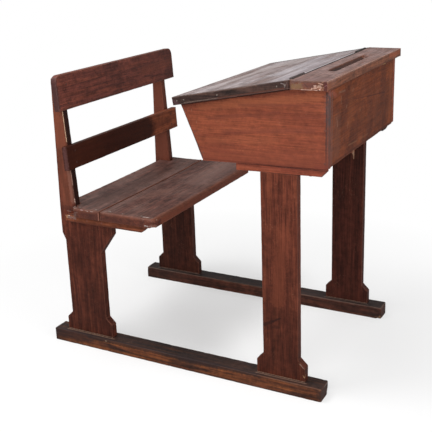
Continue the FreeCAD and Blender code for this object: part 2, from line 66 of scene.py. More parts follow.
NICK_CELL = 4.5
WAVE_CELL = 38.0
RIPPLE_CELL = 13.0

Place = tuple[float, float, float]
Shaper = Callable[[np.ndarray, np.ndarray, np.ndarray], None]
Arris = Callable[[float, float], tuple[float, float]]
Socket = bpy.types.NodeSocket

log = logging.getLogger("school_desk")


class Side(Enum):
    """Hand of a piece, seen by someone on the bench."""

    RIGHT = -1
    LEFT = 1

    @property
    def word(self) -> str:
        """Lower-case name used in the names of nodes."""
        return self.name.lower()

    def pick(self, right: object, left: object) -> object:
        """Choose the value that belongs to this hand."""
        return right if self is Side.RIGHT else left


class Body(Enum):
    """Bodies of the mechanism."""

    FRAME = "frame"
    LID = "lid"


class Grain(Enum):
    """Direction in which a board's grain runs, as the turn that lays it along X."""

    LENGTHWAYS = (0.0, 0.0, 0.0)
    CROSSWAYS = (0.0, 0.0, -math.pi / 2)
    UPRIGHT = (0.0, math.pi / 2, 0.0)


def to_metres(place: Place) -> Vector:
    """Turn a place of station, distance to the left and height into a point of the row frame."""
    station, left, height = place
    return Vector((station - MIDDLE_STATION, left, height)) * MM


def linear(tint: int) -> tuple[float, float, float, float]:
    """Turn a display colour into the linear colour that shaders use, with a full alpha."""
    parts = [channel / 255.0 for channel in tint.to_bytes(3, "big")]
    return *(p / 12.92 if p <= 0.04045 else ((p + 0.055) / 1.055) ** 2.4 for p in parts), 1.0


# Finishes


class NodeBench:
    """Lays the shader nodes of one material and wires them."""

    def __init__(self, name: str) -> None:
        """Start an empty material of that name."""
        self.material = bpy.data.materials.new(name)
        self.material.use_nodes = True
        self.tree = self.material.node_tree
        self.tree.nodes.clear()
        self.coordinates = self.tree.nodes.new("ShaderNodeTexCoord")
        self.place = self.coordinates.outputs["Object"]

    def node(self, kind: str, inputs: dict[object, object], out: int | str = 0,
             **settings: object) -> Socket:
        """Add a node.

        Args:
            kind: Type of the node.
            inputs: Output socket or constant for each input, by its name or number.
            out: Name or number of the output to hand back.
            **settings: Properties of the node.

        Returns:
            The chosen output socket.
        """
        made = self.tree.nodes.new("ShaderNode" + kind)
        for name, value in settings.items():
            setattr(made, name, value)
        for key, value in inputs.items():
            if isinstance(value, Socket):
                self.tree.links.new(value, made.inputs[key])
            else:
                made.inputs[key].default_value = value
        return made.outputs[out]

    def show(self, shader: Socket) -> bpy.types.Material:
        """Give the material its shader and hand it back."""
        self.tree.links.new(shader, self.tree.nodes.new("ShaderNodeOutputMaterial").inputs["Surface"])
        return self.material

    def sum(self, kind: str, first: object, second: object) -> Socket:
        """Combine two numbers with one math operation."""
        return self.node("Math", {0: first, 1: second}, operation=kind)

    def times(self, value: object, factor: object, more: object = None) -> Socket:
        """Multiply a number by a factor and add to it, if there is more to add."""
        if more is None:
            return self.sum("MULTIPLY", value, factor)
        return self.node("Math", {0: value, 1: factor, 2: more}, operation="MULTIPLY_ADD")

    def vector(self, kind: str, first: object, second: object = (0, 0, 0), out: int = 0) -> Socket:
        """Combine two vectors with one vector operation."""
        return self.node("VectorMath", {0: first, 1: second}, out, operation=kind)

    def noise(self, place: Socket, stretch: Place, detail: float = 2.0, roughness: float = 0.55) -> Socket:
        """Noise with its own repeat per metre along each axis.

        Args:
            place: Coordinates in metres.
            stretch: Cells per metre along and across the grain.
            detail: Octaves.
            roughness: Share of the finer octaves.

        Returns:
            The noise, from about 0.25 to 0.75.
        """
        return self.node("TexNoise", {"Vector": self.vector("MULTIPLY", place, stretch), "Scale": 1.0,
                                      "Detail": detail, "Roughness": roughness})

    def step(self, value: object, start: object, end: object, low: float = 0.0,
             high: float = 1.0) -> Socket:
        """Smooth step from low to high as the value goes from start to end."""
        return self.node("MapRange", {0: value, 1: start, 2: end, 3: low, 4: high},
                         interpolation_type="SMOOTHSTEP", clamp=True)

    def blend(self, amount: object, under: object, over: object) -> Socket:
        """Lay one colour over another by an amount."""
        return self.node("Mix", {0: amount, 6: under, 7: over}, 2, data_type="RGBA")

    def stain(self, under: object, amount: object, share: object, tint: int) -> Socket:
        """Lay a tint over a colour by a share of an amount."""
        return self.blend(self.times(amount, share), under, linear(tint))

    def attribute(self, name: str) -> Socket:
        """Value that the board's maker left on its points."""
        return self.node("Attribute", {}, 2, attribute_name=name)

    def bump(self, strength: float, distance: float, height: Socket) -> Socket:
        """Surface direction over a relief of some metres."""
        return self.node("Bump", {"Strength": strength, "Distance": distance, "Height": height})

    def stroke(self, mark: "Mark", ragged: Socket) -> Socket:
        """Amount of a scratch, line or spot at each point.

        Args:
            mark: The scratch.
            ragged: Noise that frays its edge.

        Returns:
            Full on the line and nothing beyond its width.
        """
        start, end = to_metres(mark.start), to_metres(mark.end)
        run = end - start
        offset = self.vector("SUBTRACT", self.place, start)
        if run.length > MM:
            share = self.vector("DOT_PRODUCT", offset, run / run.length_squared, 1)
            held = self.node("Clamp", {0: share})
            foot = self.node("VectorMath", {0: tuple(run), 3: held}, operation="SCALE")
            offset = self.vector("SUBTRACT", offset, foot)
        width = mark.width * MM
        lift = width * mark.fray * 0.5
        frayed = self.times(ragged, width * mark.fray, self.vector("LENGTH", offset, out=1))
        return self.step(frayed, width + lift, width * 0.45 + lift)


@dataclass(frozen=True)
class Mark:
    """Scratch, worn line, stain, spot, painted shade or painted light on a board."""

    start: Place
    end: Place
    width: float
    tint: int
    strength: float = 0.8
    fray: float = 1.2


def strokes(*rows: Sequence[float], **shared: float) -> list[Mark]:
    """Marks from rows of both ends, width, tint, strength and fray.

    Args:
        *rows: The rows.
        **shared: Coordinate x, y or z that all ends have and the rows leave out.

    Returns:
        The marks.
    """
    made = []
    for row in rows:
        values = list(row)
        for axis, level in shared.items():
            values.insert("xyz".index(axis), level)
            values.insert(3 + "xyz".index(axis), level)
        made.append(Mark(tuple(values[:3]), tuple(values[3:6]), *values[6:]))
    return made


@dataclass(frozen=True)
class WoodFinish:
    """Stain, wear, gloss, painted shade and painted sheen of a piece of timber."""

    slot: str
    mid: int
    dark: int
    light: int
    deep: int
    grain: Grain = Grain.LENGTHWAYS
    figure: float = 0.5
    figure_cells: float = 13.0
    streaks: float = 0.4
    stains: float = 0.5
    pores: float = 0.5
    # Top faces take these tints over the grain: a darker worn top on the runners, and on the lid, seat and
    # pen rail a paler grey that is worn finish and painted sheen.
    top_tint: int = 0x69524A
    top_second: int = 0x503832
    top_cover: float = 0.0
    rub_tint: int = 0x966950
    rub_width: float = 2.0
    rub_cover: float = 0.5
    bare_tint: int = 0xB08A68
    scratches: float = 0.15
    scratch_tint: int = 0xAA8269
    contrast: float = 1.0
    # Painted shade: the colour darkens towards the floor, to this share at floor level, and is full again
    # at the height set under it, in metres.
    painted_floor_shade: float = 1.0
    painted_shade_reach: float = 0.42
    roughness: float = 0.48
    top_roughness: float = 0.62
    sheen: float = 0.25
    relief: float = 0.35
    relief_depth: float = 0.0006

    def material(self, name: str, seed: int, marks: Sequence[Mark] = ()) -> bpy.types.Material:
        """Make the material of one board.

        Args:
            name: Name of the board.
            seed: Number that makes this board's figure its own.
            marks: Scratches, stains, painted shade and painted light of this board.

        Returns:
            The material.
        """
        bench = NodeBench(name + "_finish")
        place, cells = bench.place, self.figure_cells
        laid = bench.node("Mapping", {"Vector": place, "Rotation": self.grain.value,
                                      "Location": (seed * 0.731, seed * 0.377, seed * 0.519)})
        wander = bench.noise(laid, (1.3, cells, cells), 2.0, 0.5)
        fray = bench.noise(laid, (9.0, 160.0, 160.0), 3.0, 0.65)
        streak = bench.noise(laid, (3.0, 95.0, 95.0), 3.0, 0.6)
        blotch = bench.noise(place, (6.0, 6.5, 6.0), 4.0, 0.6)
        patch = bench.noise(laid, (4.0, 16.0, 16.0), 3.0, 0.6)
        pore = bench.noise(laid, (22.0, 640.0, 640.0), 2.0, 0.5)
        fine = bench.noise(laid, (13.0, 300.0, 300.0), 3.0, 0.6)
        mottle = bench.noise(place, (62.0, 62.0, 62.0), 3.0, 0.7)
        speck = bench.noise(place, (240.0, 240.0, 240.0), 2.0, 0.6)
        ragged = bench.noise(place, (210.0, 210.0, 210.0), 2.0, 0.7)
        ring = bench.times(wander, 52.0, bench.times(fray, 2.2))
        rings = bench.step(bench.sum("SINE", ring, 0.0), -0.5, 0.95)
        pored = bench.step(pore, 0.55, 0.68)
        colour = bench.stain(linear(self.mid), rings, self.figure, self.dark)
        colour = bench.stain(colour, bench.step(streak, 0.47, 0.68), self.streaks, self.light)
        colour = bench.stain(colour, bench.step(blotch, 0.47, 0.66), self.stains, self.deep)
        colour = bench.stain(colour, pored, self.pores, self.deep)
        rough = bench.times(streak, 0.16, self.roughness - 0.08)
        # Top faces take the top tints: worn finish, and where the tints are paler, painted sheen as well.
        if self.top_cover:
            facing = bench.node("SeparateXYZ", {0: bench.coordinates.outputs["Normal"]}, 2)
            top = bench.step(facing, 0.6, 0.95)
            worn = bench.blend(bench.step(bench.times(fray, 0.5, patch), 0.6, 0.9),
                               linear(self.top_tint), linear(self.top_second))
            worn = bench.stain(worn, pored, self.pores * 0.7, self.deep)
            cover = bench.step(bench.sum("ADD", blotch, streak), 0.55, 1.05,
                               min(1.0, self.top_cover * 1.25), self.top_cover * 0.8)
            colour = bench.blend(bench.times(top, cover), colour, worn)
            rough = bench.times(top, self.top_roughness - self.roughness, rough)
        shade = bench.sum("ADD", fine, bench.times(mottle, 0.8, 0.1))
        level = bench.step(shade, 0.6, 1.4, 1.0 - 0.5 * self.contrast, 1.0 + 0.5 * self.contrast)
        # Painted shade: darker towards the floor, below the set height.
        if self.painted_floor_shade < 1.0:
            above = bench.node("SeparateXYZ", {0: place}, 2)
            level = bench.times(level, bench.step(above, 0.0, self.painted_shade_reach, self.painted_floor_shade, 1.0))
        colour = bench.node("HueSaturation", {"Value": level, "Color": colour})
        broken = bench.times(patch, 0.6, bench.times(speck, 0.4))
        reach = bench.times(bench.step(broken, 0.36, 0.66), self.rub_width * 2.0)
        rubbed = bench.step(bench.attribute("rim"), reach, bench.times(reach, 0.2))
        colour = bench.stain(colour, rubbed, self.rub_cover, self.rub_tint)
        if self.scratches:
            lean = bench.node("Mapping", {"Vector": place, "Rotation": (0.5, 0.3, 0.6 + seed)})
            thin = bench.noise(lean, (5.0, 330.0, 330.0), 1.0, 0.4)
            here = bench.step(bench.noise(lean, (9.0, 22.0, 22.0), 1.0), 0.52, 0.66)
            cut = bench.times(bench.step(thin, 0.66, 0.72), here)
            colour = bench.stain(colour, cut, self.scratches, self.scratch_tint)
        chipped = bench.step(bench.times(speck, 0.5, bench.attribute("chip")), 0.45, 0.85)
        bare = bench.blend(bench.step(streak, 0.42, 0.6), linear(self.bare_tint), linear(self.mid))
        bare = bench.blend(bench.step(speck, 0.4, 0.6, 0.0, 0.75), bare, linear(self.bare_tint))
        colour = bench.blend(chipped, colour, bare)
        for mark in marks:
            colour = bench.stain(colour, bench.stroke(mark, ragged), mark.strength, mark.tint)
        height = bench.times(speck, 0.25, bench.times(pored, -0.6, bench.times(rings, 0.25,
                                                                               bench.times(streak, 0.5))))
        return bench.show(bench.node("BsdfPrincipled", {
            "Base Color": colour, "Roughness": rough, "Specular IOR Level": self.sheen,
            "Normal": bench.bump(self.relief, self.relief_depth, height)}))


@dataclass(frozen=True)
class MetalFinish:
    """Iron or steel with rust and rubbed high spots."""

    tint: int
    rust: int
    bright: int
    rusted: float
    roughness: float
    metallic: float

    def material(self, name: str) -> bpy.types.Material:
        """Make the material for the pieces of that name."""
        bench = NodeBench(name + "_finish")
        cloud = bench.noise(bench.place, (85.0, 85.0, 85.0), 4.0, 0.7)
        fine = bench.noise(bench.place, (900.0, 900.0, 900.0), 2.0, 0.6)
        rust = bench.step(cloud, 0.66 - self.rusted * 0.3, 0.7)
        colour = bench.blend(bench.step(fine, 0.4, 0.7), linear(self.tint), linear(self.bright))
        return bench.show(bench.node("BsdfPrincipled", {
            "Base Color": bench.blend(rust, colour, linear(self.rust)),
            "Roughness": bench.times(rust, 0.25, bench.times(fine, 0.2, self.roughness - 0.1)),
            "Metallic": bench.times(rust, -0.6 * self.metallic, self.metallic),
            "Normal": bench.bump(0.4, 0.0003, bench.times(rust, 0.6, fine))}))


# Boards


@dataclass(frozen=True)
class Lie:
    """How a board lies: the start of its outline and where its outline and thickness point."""

    start: Place
    along: Vector
    across: Vector

    @property
    def out(self) -> Vector:
        """Direction of the thickness, out of the outline's plane."""
        return self.along.cross(self.across)

    def places(self, local: np.ndarray) -> np.ndarray:
        """Workshop places of local points.

        Args:
            local: Rows of outline and thickness coordinates.

        Returns:
            Rows of station, distance to the left and height.
        """
        axes = np.array([self.along, self.across, self.out])
        return local @ axes + np.array(self.start)


FLAT = (Vector((1, 0, 0)), Vector((0, 1, 0)))
STANDING = (Vector((1, 0, 0)), Vector((0, 0, 1)))
FACING_REAR = (Vector((0, 1, 0)), Vector((0, 0, 1)))


@dataclass(frozen=True)
class Corner:
    """Corner of an outline with the radius that it is worn or cut to."""

    u: float
    v: float
    radius: float = 1.6


@dataclass(frozen=True)
class Chip:
    """Place where wood has worn or broken away."""

    centre: Place
    reach: float
    depth: float
    bare: float = 1.0
    cell: float = 5.0


@dataclass
class Board:
    """One piece of timber: an outline given a thickness, worn arrises, hollows and chips."""

    name: str
    lie: Lie
    corners: Sequence[Corner]
    thickness: float
    arris: tuple[float, float] = (1.2, 1.2)
    arris_at: Arris | None = None
    pitch: float = 6.0
    wall_pitch: float = 6.0
    rings: int = 3
    shape: Shaper | None = None
    seeds: Sequence[tuple[float, float]] = ()
    chips: Sequence[Chip] = ()
    wear: float = 0.7
    hollow: float = 0.22
    seed: int = 1

    def outline(self) -> tuple[np.ndarray, np.ndarray, np.ndarray, np.ndarray]:
        """Walk the outline in short steps, its convex corners rounded.

        Returns:
            Points, outward normals stretched at corners, the widest inset that each point allows,
            and the distance of each point from the nearest sharp turn.
        """
        points: list[Vector] = []
        limits: list[float] = []
        turns: list[Vector] = []
        spots = [Vector((c.u, c.v)) for c in self.corners]
        count = len(spots)
        arcs: list[list[Vector]] = []
        for number, spot in enumerate(spots):
            back = (spot - spots[number - 1]).normalized()
            ahead = (spots[(number + 1) % count] - spot).normalized()
            bend = math.atan2(back.cross(ahead), back.dot(ahead))
            radius = self.corners[number].radius if bend > ROUNDED_TURN else 0.0
            if radius:
                reach = radius * math.tan(bend / 2)
                centre = spot - back * reach + Vector((-back.y, back.x)) * radius
                first = (spot - back * reach) - centre
                steps = max(2, math.ceil(bend * radius / ARC_STEP))
                spokes = [Matrix.Rotation(bend * k / steps, 2) @ first for k in range(steps + 1)]
                arcs.append([centre + spoke for spoke in spokes])
            else:
                arcs.append([spot])
            if abs(bend) > SHARP_TURN:
                turns.append(spot)
        for number, arc in enumerate(arcs):
            points += arc
            radius = self.corners[number].radius if len(arc) > 1 else UNBOUNDED
            limits += [radius * 0.85] * len(arc)
            following = arcs[(number + 1) % count][0]
            gap = following - arc[-1]
            steps = max(1, round(gap.length / self.pitch))
            for k in range(1, steps):
                points.append(arc[-1] + gap * (k / steps))
                limits.append(UNBOUNDED)
        walk = np.array([tuple(p) for p in points])
        ahead_gap = np.roll(walk, -1, 0) - walk
        length = np.linalg.norm(ahead_gap, axis=1)
        edge = ahead_gap / length[:, None]
        side = np.stack([edge[:, 1], -edge[:, 0]], 1)
        both = side + np.roll(side, 1, 0)
        both /= np.linalg.norm(both, axis=1)[:, None]
        stretch = np.minimum(1.5, 1 / np.maximum(0.3, (both * side).sum(1)))
        limit = np.array(limits)
        tight = limit < UNBOUNDED
        if tight.any():
            away = np.linalg.norm(walk[:, None] - walk[None, tight], axis=2)
            limit = np.minimum(limit, (away * 0.7 + limit[tight][None]).min(1))
        nearest = np.full(len(walk), UNBOUNDED)
        for turn in turns:
            nearest = np.minimum(nearest, np.linalg.norm(walk - np.array(tuple(turn)), axis=1))
        return walk, both * stretch[:, None], limit, nearest

    def radii(self, walk: np.ndarray, limit: np.ndarray) -> np.ndarray:
        """Radius of both arrises at each point of the outline, uneven with wear.

        Args:
            walk: Points of the outline.
            limit: Widest inset at each point.

        Returns:
            Rows of the low and the high radius.
        """
        made = []
        for (u, v), most in zip(walk, limit):
            pair = self.arris_at(u, v) if self.arris_at else self.arris
            row = []
            for level, radius in enumerate(pair):
                rubbed = noise.noise(Vector((u / RUB_CELL, v / RUB_CELL, self.seed * 3.1 + level * 7.7)))
                nicked = noise.noise(Vector((u / NICK_CELL, v / NICK_CELL, self.seed * 5.3 + level * 2.9)))
                more = self.wear * (max(0.0, rubbed) * 1.3 + max(0.0, nicked - 0.25) * 1.2)
                row.append(min(radius * (0.8 + 0.25 * rubbed) + more, most, self.thickness * 0.45))
            made.append(row)
        return np.array(made)

    def face(self, ring: np.ndarray) -> tuple[np.ndarray, list[tuple[int, ...]]]:
        """Points and triangles of one broad face inside its ring.

        Args:
            ring: Outline of the face.

        Returns:
            Points that follow the ring's own, and triangles that number both.
        """
        low, high = ring.min(0), ring.max(0)
        rows = max(1, round((high[1] - low[1]) / (self.pitch * 0.9)))
        spots = []
        for row in range(1, rows):
            v = low[1] + (high[1] - low[1]) * row / rows
            shift = 0.25 if row % 2 else 0.75
            columns = max(1, round((high[0] - low[0]) / self.pitch))
            for column in range(columns):
                spots.append((low[0] + (high[0] - low[0]) * (column + shift) / columns, v))
        inner = np.array(spots) if spots else np.zeros((0, 2))
        if len(self.seeds):
            seeds = np.array(self.seeds)
            away = np.linalg.norm(inner[:, None] - seeds[None], axis=2).min(1)
            inner = np.concatenate([seeds, inner[away > self.pitch * 0.6]])
        if len(inner):
            clear = edge_distance(inner, ring)
            keep = inside(inner, ring) & (clear > np.where(np.arange(len(inner)) < len(self.seeds),
                                                           0.3, self.pitch * 0.45))
            inner = inner[keep]
        every = [Vector(p) for p in ring] + [Vector(p) for p in inner]
        _, _, faces, origin, _, _ = delaunay_2d_cdt(every, [], [list(range(len(ring)))], 1, 1e-6)
        if not all(origin):
            raise ValueError(f"the outline of {self.name} crosses itself")
        return inner, [tuple(origin[k][0] for k in triangle) for triangle in faces]

    def build(self) -> bpy.types.Object:
        """Make the board's mesh.

        Returns:
            The object, in the row frame.
        """
        walk, normal, limit, turn = self.outline()
        radius = self.radii(walk, limit)
        count = len(walk)
        rows: list[np.ndarray] = []
        rim: list[np.ndarray] = []
        turns = [step / self.rings * math.pi / 2 for step in range(self.rings + 1)]
        for angle in turns:
            inset, rise = radius[:, :1] * (1 - math.sin(angle)), radius[:, 0] * (1 - math.cos(angle))
            rows.append(np.column_stack([walk - normal * inset, rise]))
            rim.append(np.zeros(count))
        straight = self.thickness - radius.sum(1)
        steps = max(1, round(float(straight.mean()) / self.wall_pitch))
        for step in range(1, steps):
            share = step / steps
            rows.append(np.column_stack([walk, radius[:, 0] + straight * share]))
            rim.append(np.minimum(turn, straight * min(share, 1 - share)))
        for angle in turns:
            inset, rise = radius[:, 1:] * (1 - math.cos(angle)), radius[:, 1] * (1 - math.sin(angle))
            rows.append(np.column_stack([walk - normal * inset, self.thickness - rise]))
            rim.append(np.zeros(count))
        faces: list[tuple[int, ...]] = []
        for row in range(len(rows) - 1):
            first, second = row * count, (row + 1) * count
            for k, j in zip(range(count), [*range(1, count), 0]):
                faces.append((first + k, first + j, second + j, second + k))
        total = len(rows) * count
        for ring_start, height, flip in ((0, 0.0, True), (total - count, self.thickness, False)):
            ring = rows[ring_start // count][:, :2]
            inner, triangles = self.face(ring)
            base = total
            for triangle in triangles:
                numbered = tuple(ring_start + k if k < count else base + k - count for k in triangle)
                faces.append(numbered[::-1] if flip else numbered)
            if len(inner):
                rows.append(np.column_stack([inner, np.full(len(inner), height)]))
                rim.append(edge_distance(inner, ring))
                total += len(inner)
        local = np.concatenate(rows)
        if self.shape:
            self.shape(*local.T)
        return self.finish(self.lie.places(local), faces, np.concatenate(rim))

    def finish(self, places: np.ndarray, faces: list[tuple[int, ...]], rim: np.ndarray) -> bpy.types.Object:
        """Wear the surface and make the object.

        Args:
            places: Workshop places of the points.
            faces: Faces by point numbers.
            rim: Distance of each point from the nearest arris.

        Returns:
            The object.
        """
        mesh = bpy.data.meshes.new(self.name)
        shift = np.array([MIDDLE_STATION, 0.0, 0.0])
        mesh.from_pydata((places - shift) * MM, [], faces)
        mesh.update()
        outward = np.zeros(len(places) * 3)
        mesh.vertices.foreach_get("normal", outward)
        outward = outward.reshape(-1, 3)
        depth = np.zeros(len(places))
        chip = np.zeros(len(places))
        for number, place in enumerate(places):
            spot = Vector(place)
            wave = noise.noise(spot / WAVE_CELL + Vector((self.seed * 9.1, 0, 0)))
            ripple = noise.noise(spot / RIPPLE_CELL + Vector((0, self.seed * 4.7, 0)))
            depth[number] = self.hollow * (0.65 + wave * 0.8 + ripple * 0.35)
        for hurt in self.chips:
            away = np.linalg.norm(places - np.array(hurt.centre), axis=1) / hurt.reach
            for number in np.nonzero(away < 1.6)[0]:
                rough = noise.noise(Vector(places[number]) / hurt.cell + Vector((0, 0, self.seed)))
                amount = max(0.0, min(1.0, (1.0 - away[number]) * 1.6 + rough * 0.9))
                depth[number] += hurt.depth * amount * (0.75 + 0.35 * rough)
                chip[number] = max(chip[number], amount * hurt.bare)
        worn = places - outward * np.maximum(depth, 0.0)[:, None]
        mesh.vertices.foreach_set("co", ((worn - shift) * MM).ravel())
        for word, values in (("rim", rim), ("chip", chip)):
            layer = mesh.attributes.new(word, "FLOAT", "POINT")
            layer.data.foreach_set("value", values)
        mesh.shade_smooth()
        mesh.update()
        made = bpy.data.objects.new(self.name, mesh)
        bpy.context.scene.collection.objects.link(made)
        weighted = made.modifiers.new("weighted_normals", "WEIGHTED_NORMAL")
        weighted.weight = 60
        return made


def inside(points: np.ndarray, ring: np.ndarray) -> np.ndarray:
    """Whether each point lies inside a closed ring.

    Args:
        points: Points to test.
        ring: Corners of the ring.

    Returns:
        True for each point inside.
    """
    held = np.zeros(len(points), bool)
    ahead = np.roll(ring, -1, 0)
    for (x0, y0), (x1, y1) in zip(ring, ahead):
        crosses = (y0 > points[:, 1]) != (y1 > points[:, 1])
        with np.errstate(divide="ignore", invalid="ignore"):
            at = (x1 - x0) * (points[:, 1] - y0) / (y1 - y0) + x0
        held ^= crosses & (points[:, 0] < at)
    return held


def edge_distance(points: np.ndarray, ring: np.ndarray) -> np.ndarray:
    """Distance of points from the nearest edge of a ring.

    Args:
        points: Points to measure.
        ring: Corners of the ring.

    Returns:
        The distances.
    """
    nearest = np.full(len(points), 1e9)
    ahead = np.roll(ring, -1, 0)
    for start, end in zip(ring, ahead):
        run = end - start
        share = np.clip(((points - start) @ run) / max(1e-9, float(run @ run)), 0, 1)
        nearest = np.minimum(nearest, np.linalg.norm(points - start - share[:, None] * run, axis=1))
    return nearest


def rectangle(u0: float, u1: float, v0: float, v1: float, radius: float = 1.6) -> list[Corner]:
    """Corners of a rectangle, anticlockwise from the low ends of both axes."""
    return [Corner(u, v, radius) for u, v in ((u0, v0), (u1, v0), (u1, v1), (u0, v1))]


def corners(*spots: tuple[float, ...]) -> list[Corner]:
    """Corners from their places and, where it isn't the usual one, their radius."""
    return [Corner(*spot) for spot in spots]


def on_edge(side: Side, word: str, outline: Sequence[Corner], outer: float, thickness: float, seed: int,
            **wear: object) -> Board:
    """Board on edge that runs along one hand of the desk.

    Args:
        side: Hand of the board.
        word: Last part of the node's name.
        outline: Its corners in station and height.
        outer: Distance of its outer face from the middle.
        thickness: Its thickness.
        seed: Number of its wear and figure, before its hand is added.
        **wear: Other fields of the board.

    Returns:
        The board.
    """
    lie = Lie((0.0, side.pick(thickness - outer, outer), 0.0), *STANDING)
    return Board(f"{side.word}_{word}", lie, outline, thickness, seed=seed + side.value, **wear)


def fit(board: Board, finish: WoodFinish, body: Body = Body.FRAME) -> None:
    """Build a board in place of the solid of its name, with its own chips and marks, and dress it.

    Args:
        board: The board.
        finish: Its finish.
        body: The body it moves with.
    """
    node = board.name
    made = replace(board, name=node + "_board", chips=CHIPS.get(node, ())).build()
    made.data.materials.append(finish.material(node, board.seed, MARKS.get(node, ())))
    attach(made, body.value)
    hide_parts(node)
    log.info("%s: %d points", node, len(made.data.vertices))


# Finishes of this desk

# Frame wood: painted shade darkens it towards the floor.
SHANK_WOOD = WoodFinish("frame_wood", 0x683425, 0x482118, 0x80442E, 0x3C1C15, Grain.UPRIGHT,
                        figure=0.55, stains=0.45, rub_tint=0x764838, rub_cover=0.3, rub_width=1.2,
                        contrast=1.0, painted_floor_shade=0.55, sheen=0.15)
RUNNER_WOOD = WoodFinish("runner_wood", 0x5C321E, 0x321C16, 0x884E28, 0x281C19,
                         figure=0.75, streaks=0.7, stains=0.6, top_tint=0x261F1E, top_second=0x1D1818,
                         top_cover=0.97, rub_tint=0x483831, rub_cover=0.25, rub_width=1.2, contrast=1.4)
CLEAT_WOOD = replace(SHANK_WOOD, slot="cleat_wood", mid=0x7C442D, light=0x9C5E3E,
                     grain=Grain.LENGTHWAYS, painted_floor_shade=1.0)
# Seat wood: its greyer top tints are worn finish and painted sheen.
SEAT_WOOD = WoodFinish("seat_wood", 0x643224, 0x46221B, 0x844830, 0x361C19, Grain.CROSSWAYS,
                       figure=0.55, streaks=0.5, top_tint=0x6A514A, top_second=0x4C332E,
                       top_cover=0.95, rub_tint=0x744634, rub_cover=0.45, bare_tint=0xA88C7E,
                       scratches=0.35, contrast=1.3)
BACK_WOOD = WoodFinish("back_rail_wood", 0x68362C, 0x4A251F, 0x7E4230, 0x3A1E1B,
                       Grain.CROSSWAYS, figure=0.5, stains=0.5, rub_tint=0x7A5244, rub_cover=0.35,
                       rub_width=1.0, contrast=1.2)
BOX_WOOD = WoodFinish("box_wood", 0x8A462F, 0x703424, 0x9E5436, 0x642E22,
                      figure=0.5, streaks=0.4, stains=0.35, rub_tint=0x7A4232, rub_cover=0.2,
                      rub_width=1.2, contrast=0.75)
INNER_WOOD = WoodFinish("inner_wood", 0x967450, 0x765438, 0xB08E68, 0x5C402E,
                        Grain.CROSSWAYS, figure=0.5, rub_cover=0.3)
# Pen rail wood: its pale grey top tints are worn finish and painted sheen.
PEN_WOOD = WoodFinish("pen_rail_wood", 0x7A4A36, 0x583226, 0x965E40, 0x422620,
                      Grain.CROSSWAYS, top_tint=0x8C7774, top_second=0x705650, top_cover=0.97,
                      rub_tint=0x9C8074, rub_cover=0.3, bare_tint=0xC4A08E, contrast=1.1)
# Lid wood: its pale grey top tints are worn finish and painted sheen.
LID_WOOD = WoodFinish("lid_wood", 0x7C645C, 0x5C443C, 0x988680, 0x42302C,
                      Grain.CROSSWAYS, figure=0.5, streaks=0.6, top_tint=0xA69C9E,
                      top_second=0x705C58, top_cover=0.97, rub_tint=0xA69C9A, rub_cover=0.3,
                      roughness=0.58, top_roughness=0.56, sheen=0.4, scratches=0.35, contrast=1.5)
LIPPING_WOOD = WoodFinish("lid_edge_wood", 0x3E2A25, 0x2A1E1B, 0x563C32, 0x201917,
                          figure=0.4, stains=0.4, rub_tint=0x705A52, rub_cover=0.4, rub_width=1.0,
                          bare_tint=0xA08878, roughness=0.5, contrast=1.4)
HINGE_IRON = MetalFinish(0x2E2A28, 0x462A1E, 0x58504A, 0.5, 0.5, 0.75)
NAIL_STEEL = MetalFinish(0x76685E, 0x543426, 0xA89E94, 0.35, 0.5, 0.6)
STAINED_STEEL = MetalFinish(0x703C2C, 0x5C2E22, 0x804834, 0.5, 0.55, 0.1)
DARK_STEEL = MetalFinish(0x3E221B, 0x341C16, 0x4C2C24, 0.5, 0.6, 0.1)

FAR_RUNNER_WOOD = replace(RUNNER_WOOD, mid=0x4E2A20, light=0x683C2A, rub_tint=0x68544A, rub_cover=0.45)
BENCH_END_WOOD = replace(SHANK_WOOD, mid=0x643225, light=0x7C422F)
# Painted shade: the far bench end and the far standard are darker copies of the frame wood, standing in for
# the shade under the seat and the box.
FAR_BENCH_END_SHADED_WOOD = replace(SHANK_WOOD, mid=0x542A1F, dark=0x3A1C15, light=0x683828)
FAR_STANDARD_SHADED_WOOD = replace(SHANK_WOOD, mid=0x462119, dark=0x301610, light=0x582C20, painted_floor_shade=0.9)
BEARER_WOOD = replace(BOX_WOOD, slot="frame_wood", mid=0x803C29, dark=0x622C20)
MIDDLE_RAIL_WOOD = replace(BACK_WOOD, mid=0x8C4B31, dark=0x623222, light=0x9E583A, sheen=0.1, contrast=0.9)
PANEL_WOOD = replace(BOX_WOOD, grain=Grain.CROSSWAYS)
BACK_PANEL_WOOD = replace(PANEL_WOOD, mid=0x763D24, dark=0x562719, light=0x904C28, deep=0x4A2419,
                          figure=0.4, streaks=0.35, stains=0.7, pores=0.3, scratches=0.3,
                          scratch_tint=0xA0745C, contrast=0.85, sheen=0.12)
FAR_LIPPING_WOOD = replace(LIPPING_WOOD, mid=0x3C3634, dark=0x2A2422, light=0x504846, deep=0x221D1C,
                           rub_tint=0x5C5654, rub_cover=0.25, roughness=0.8, sheen=0.05)
WORN_IRON = replace(HINGE_IRON, tint=0x3E3232, rust=0x3A2C2A, bright=0x584C4A, roughness=0.7, metallic=0.1)


# Chips and marks of single boards, by node

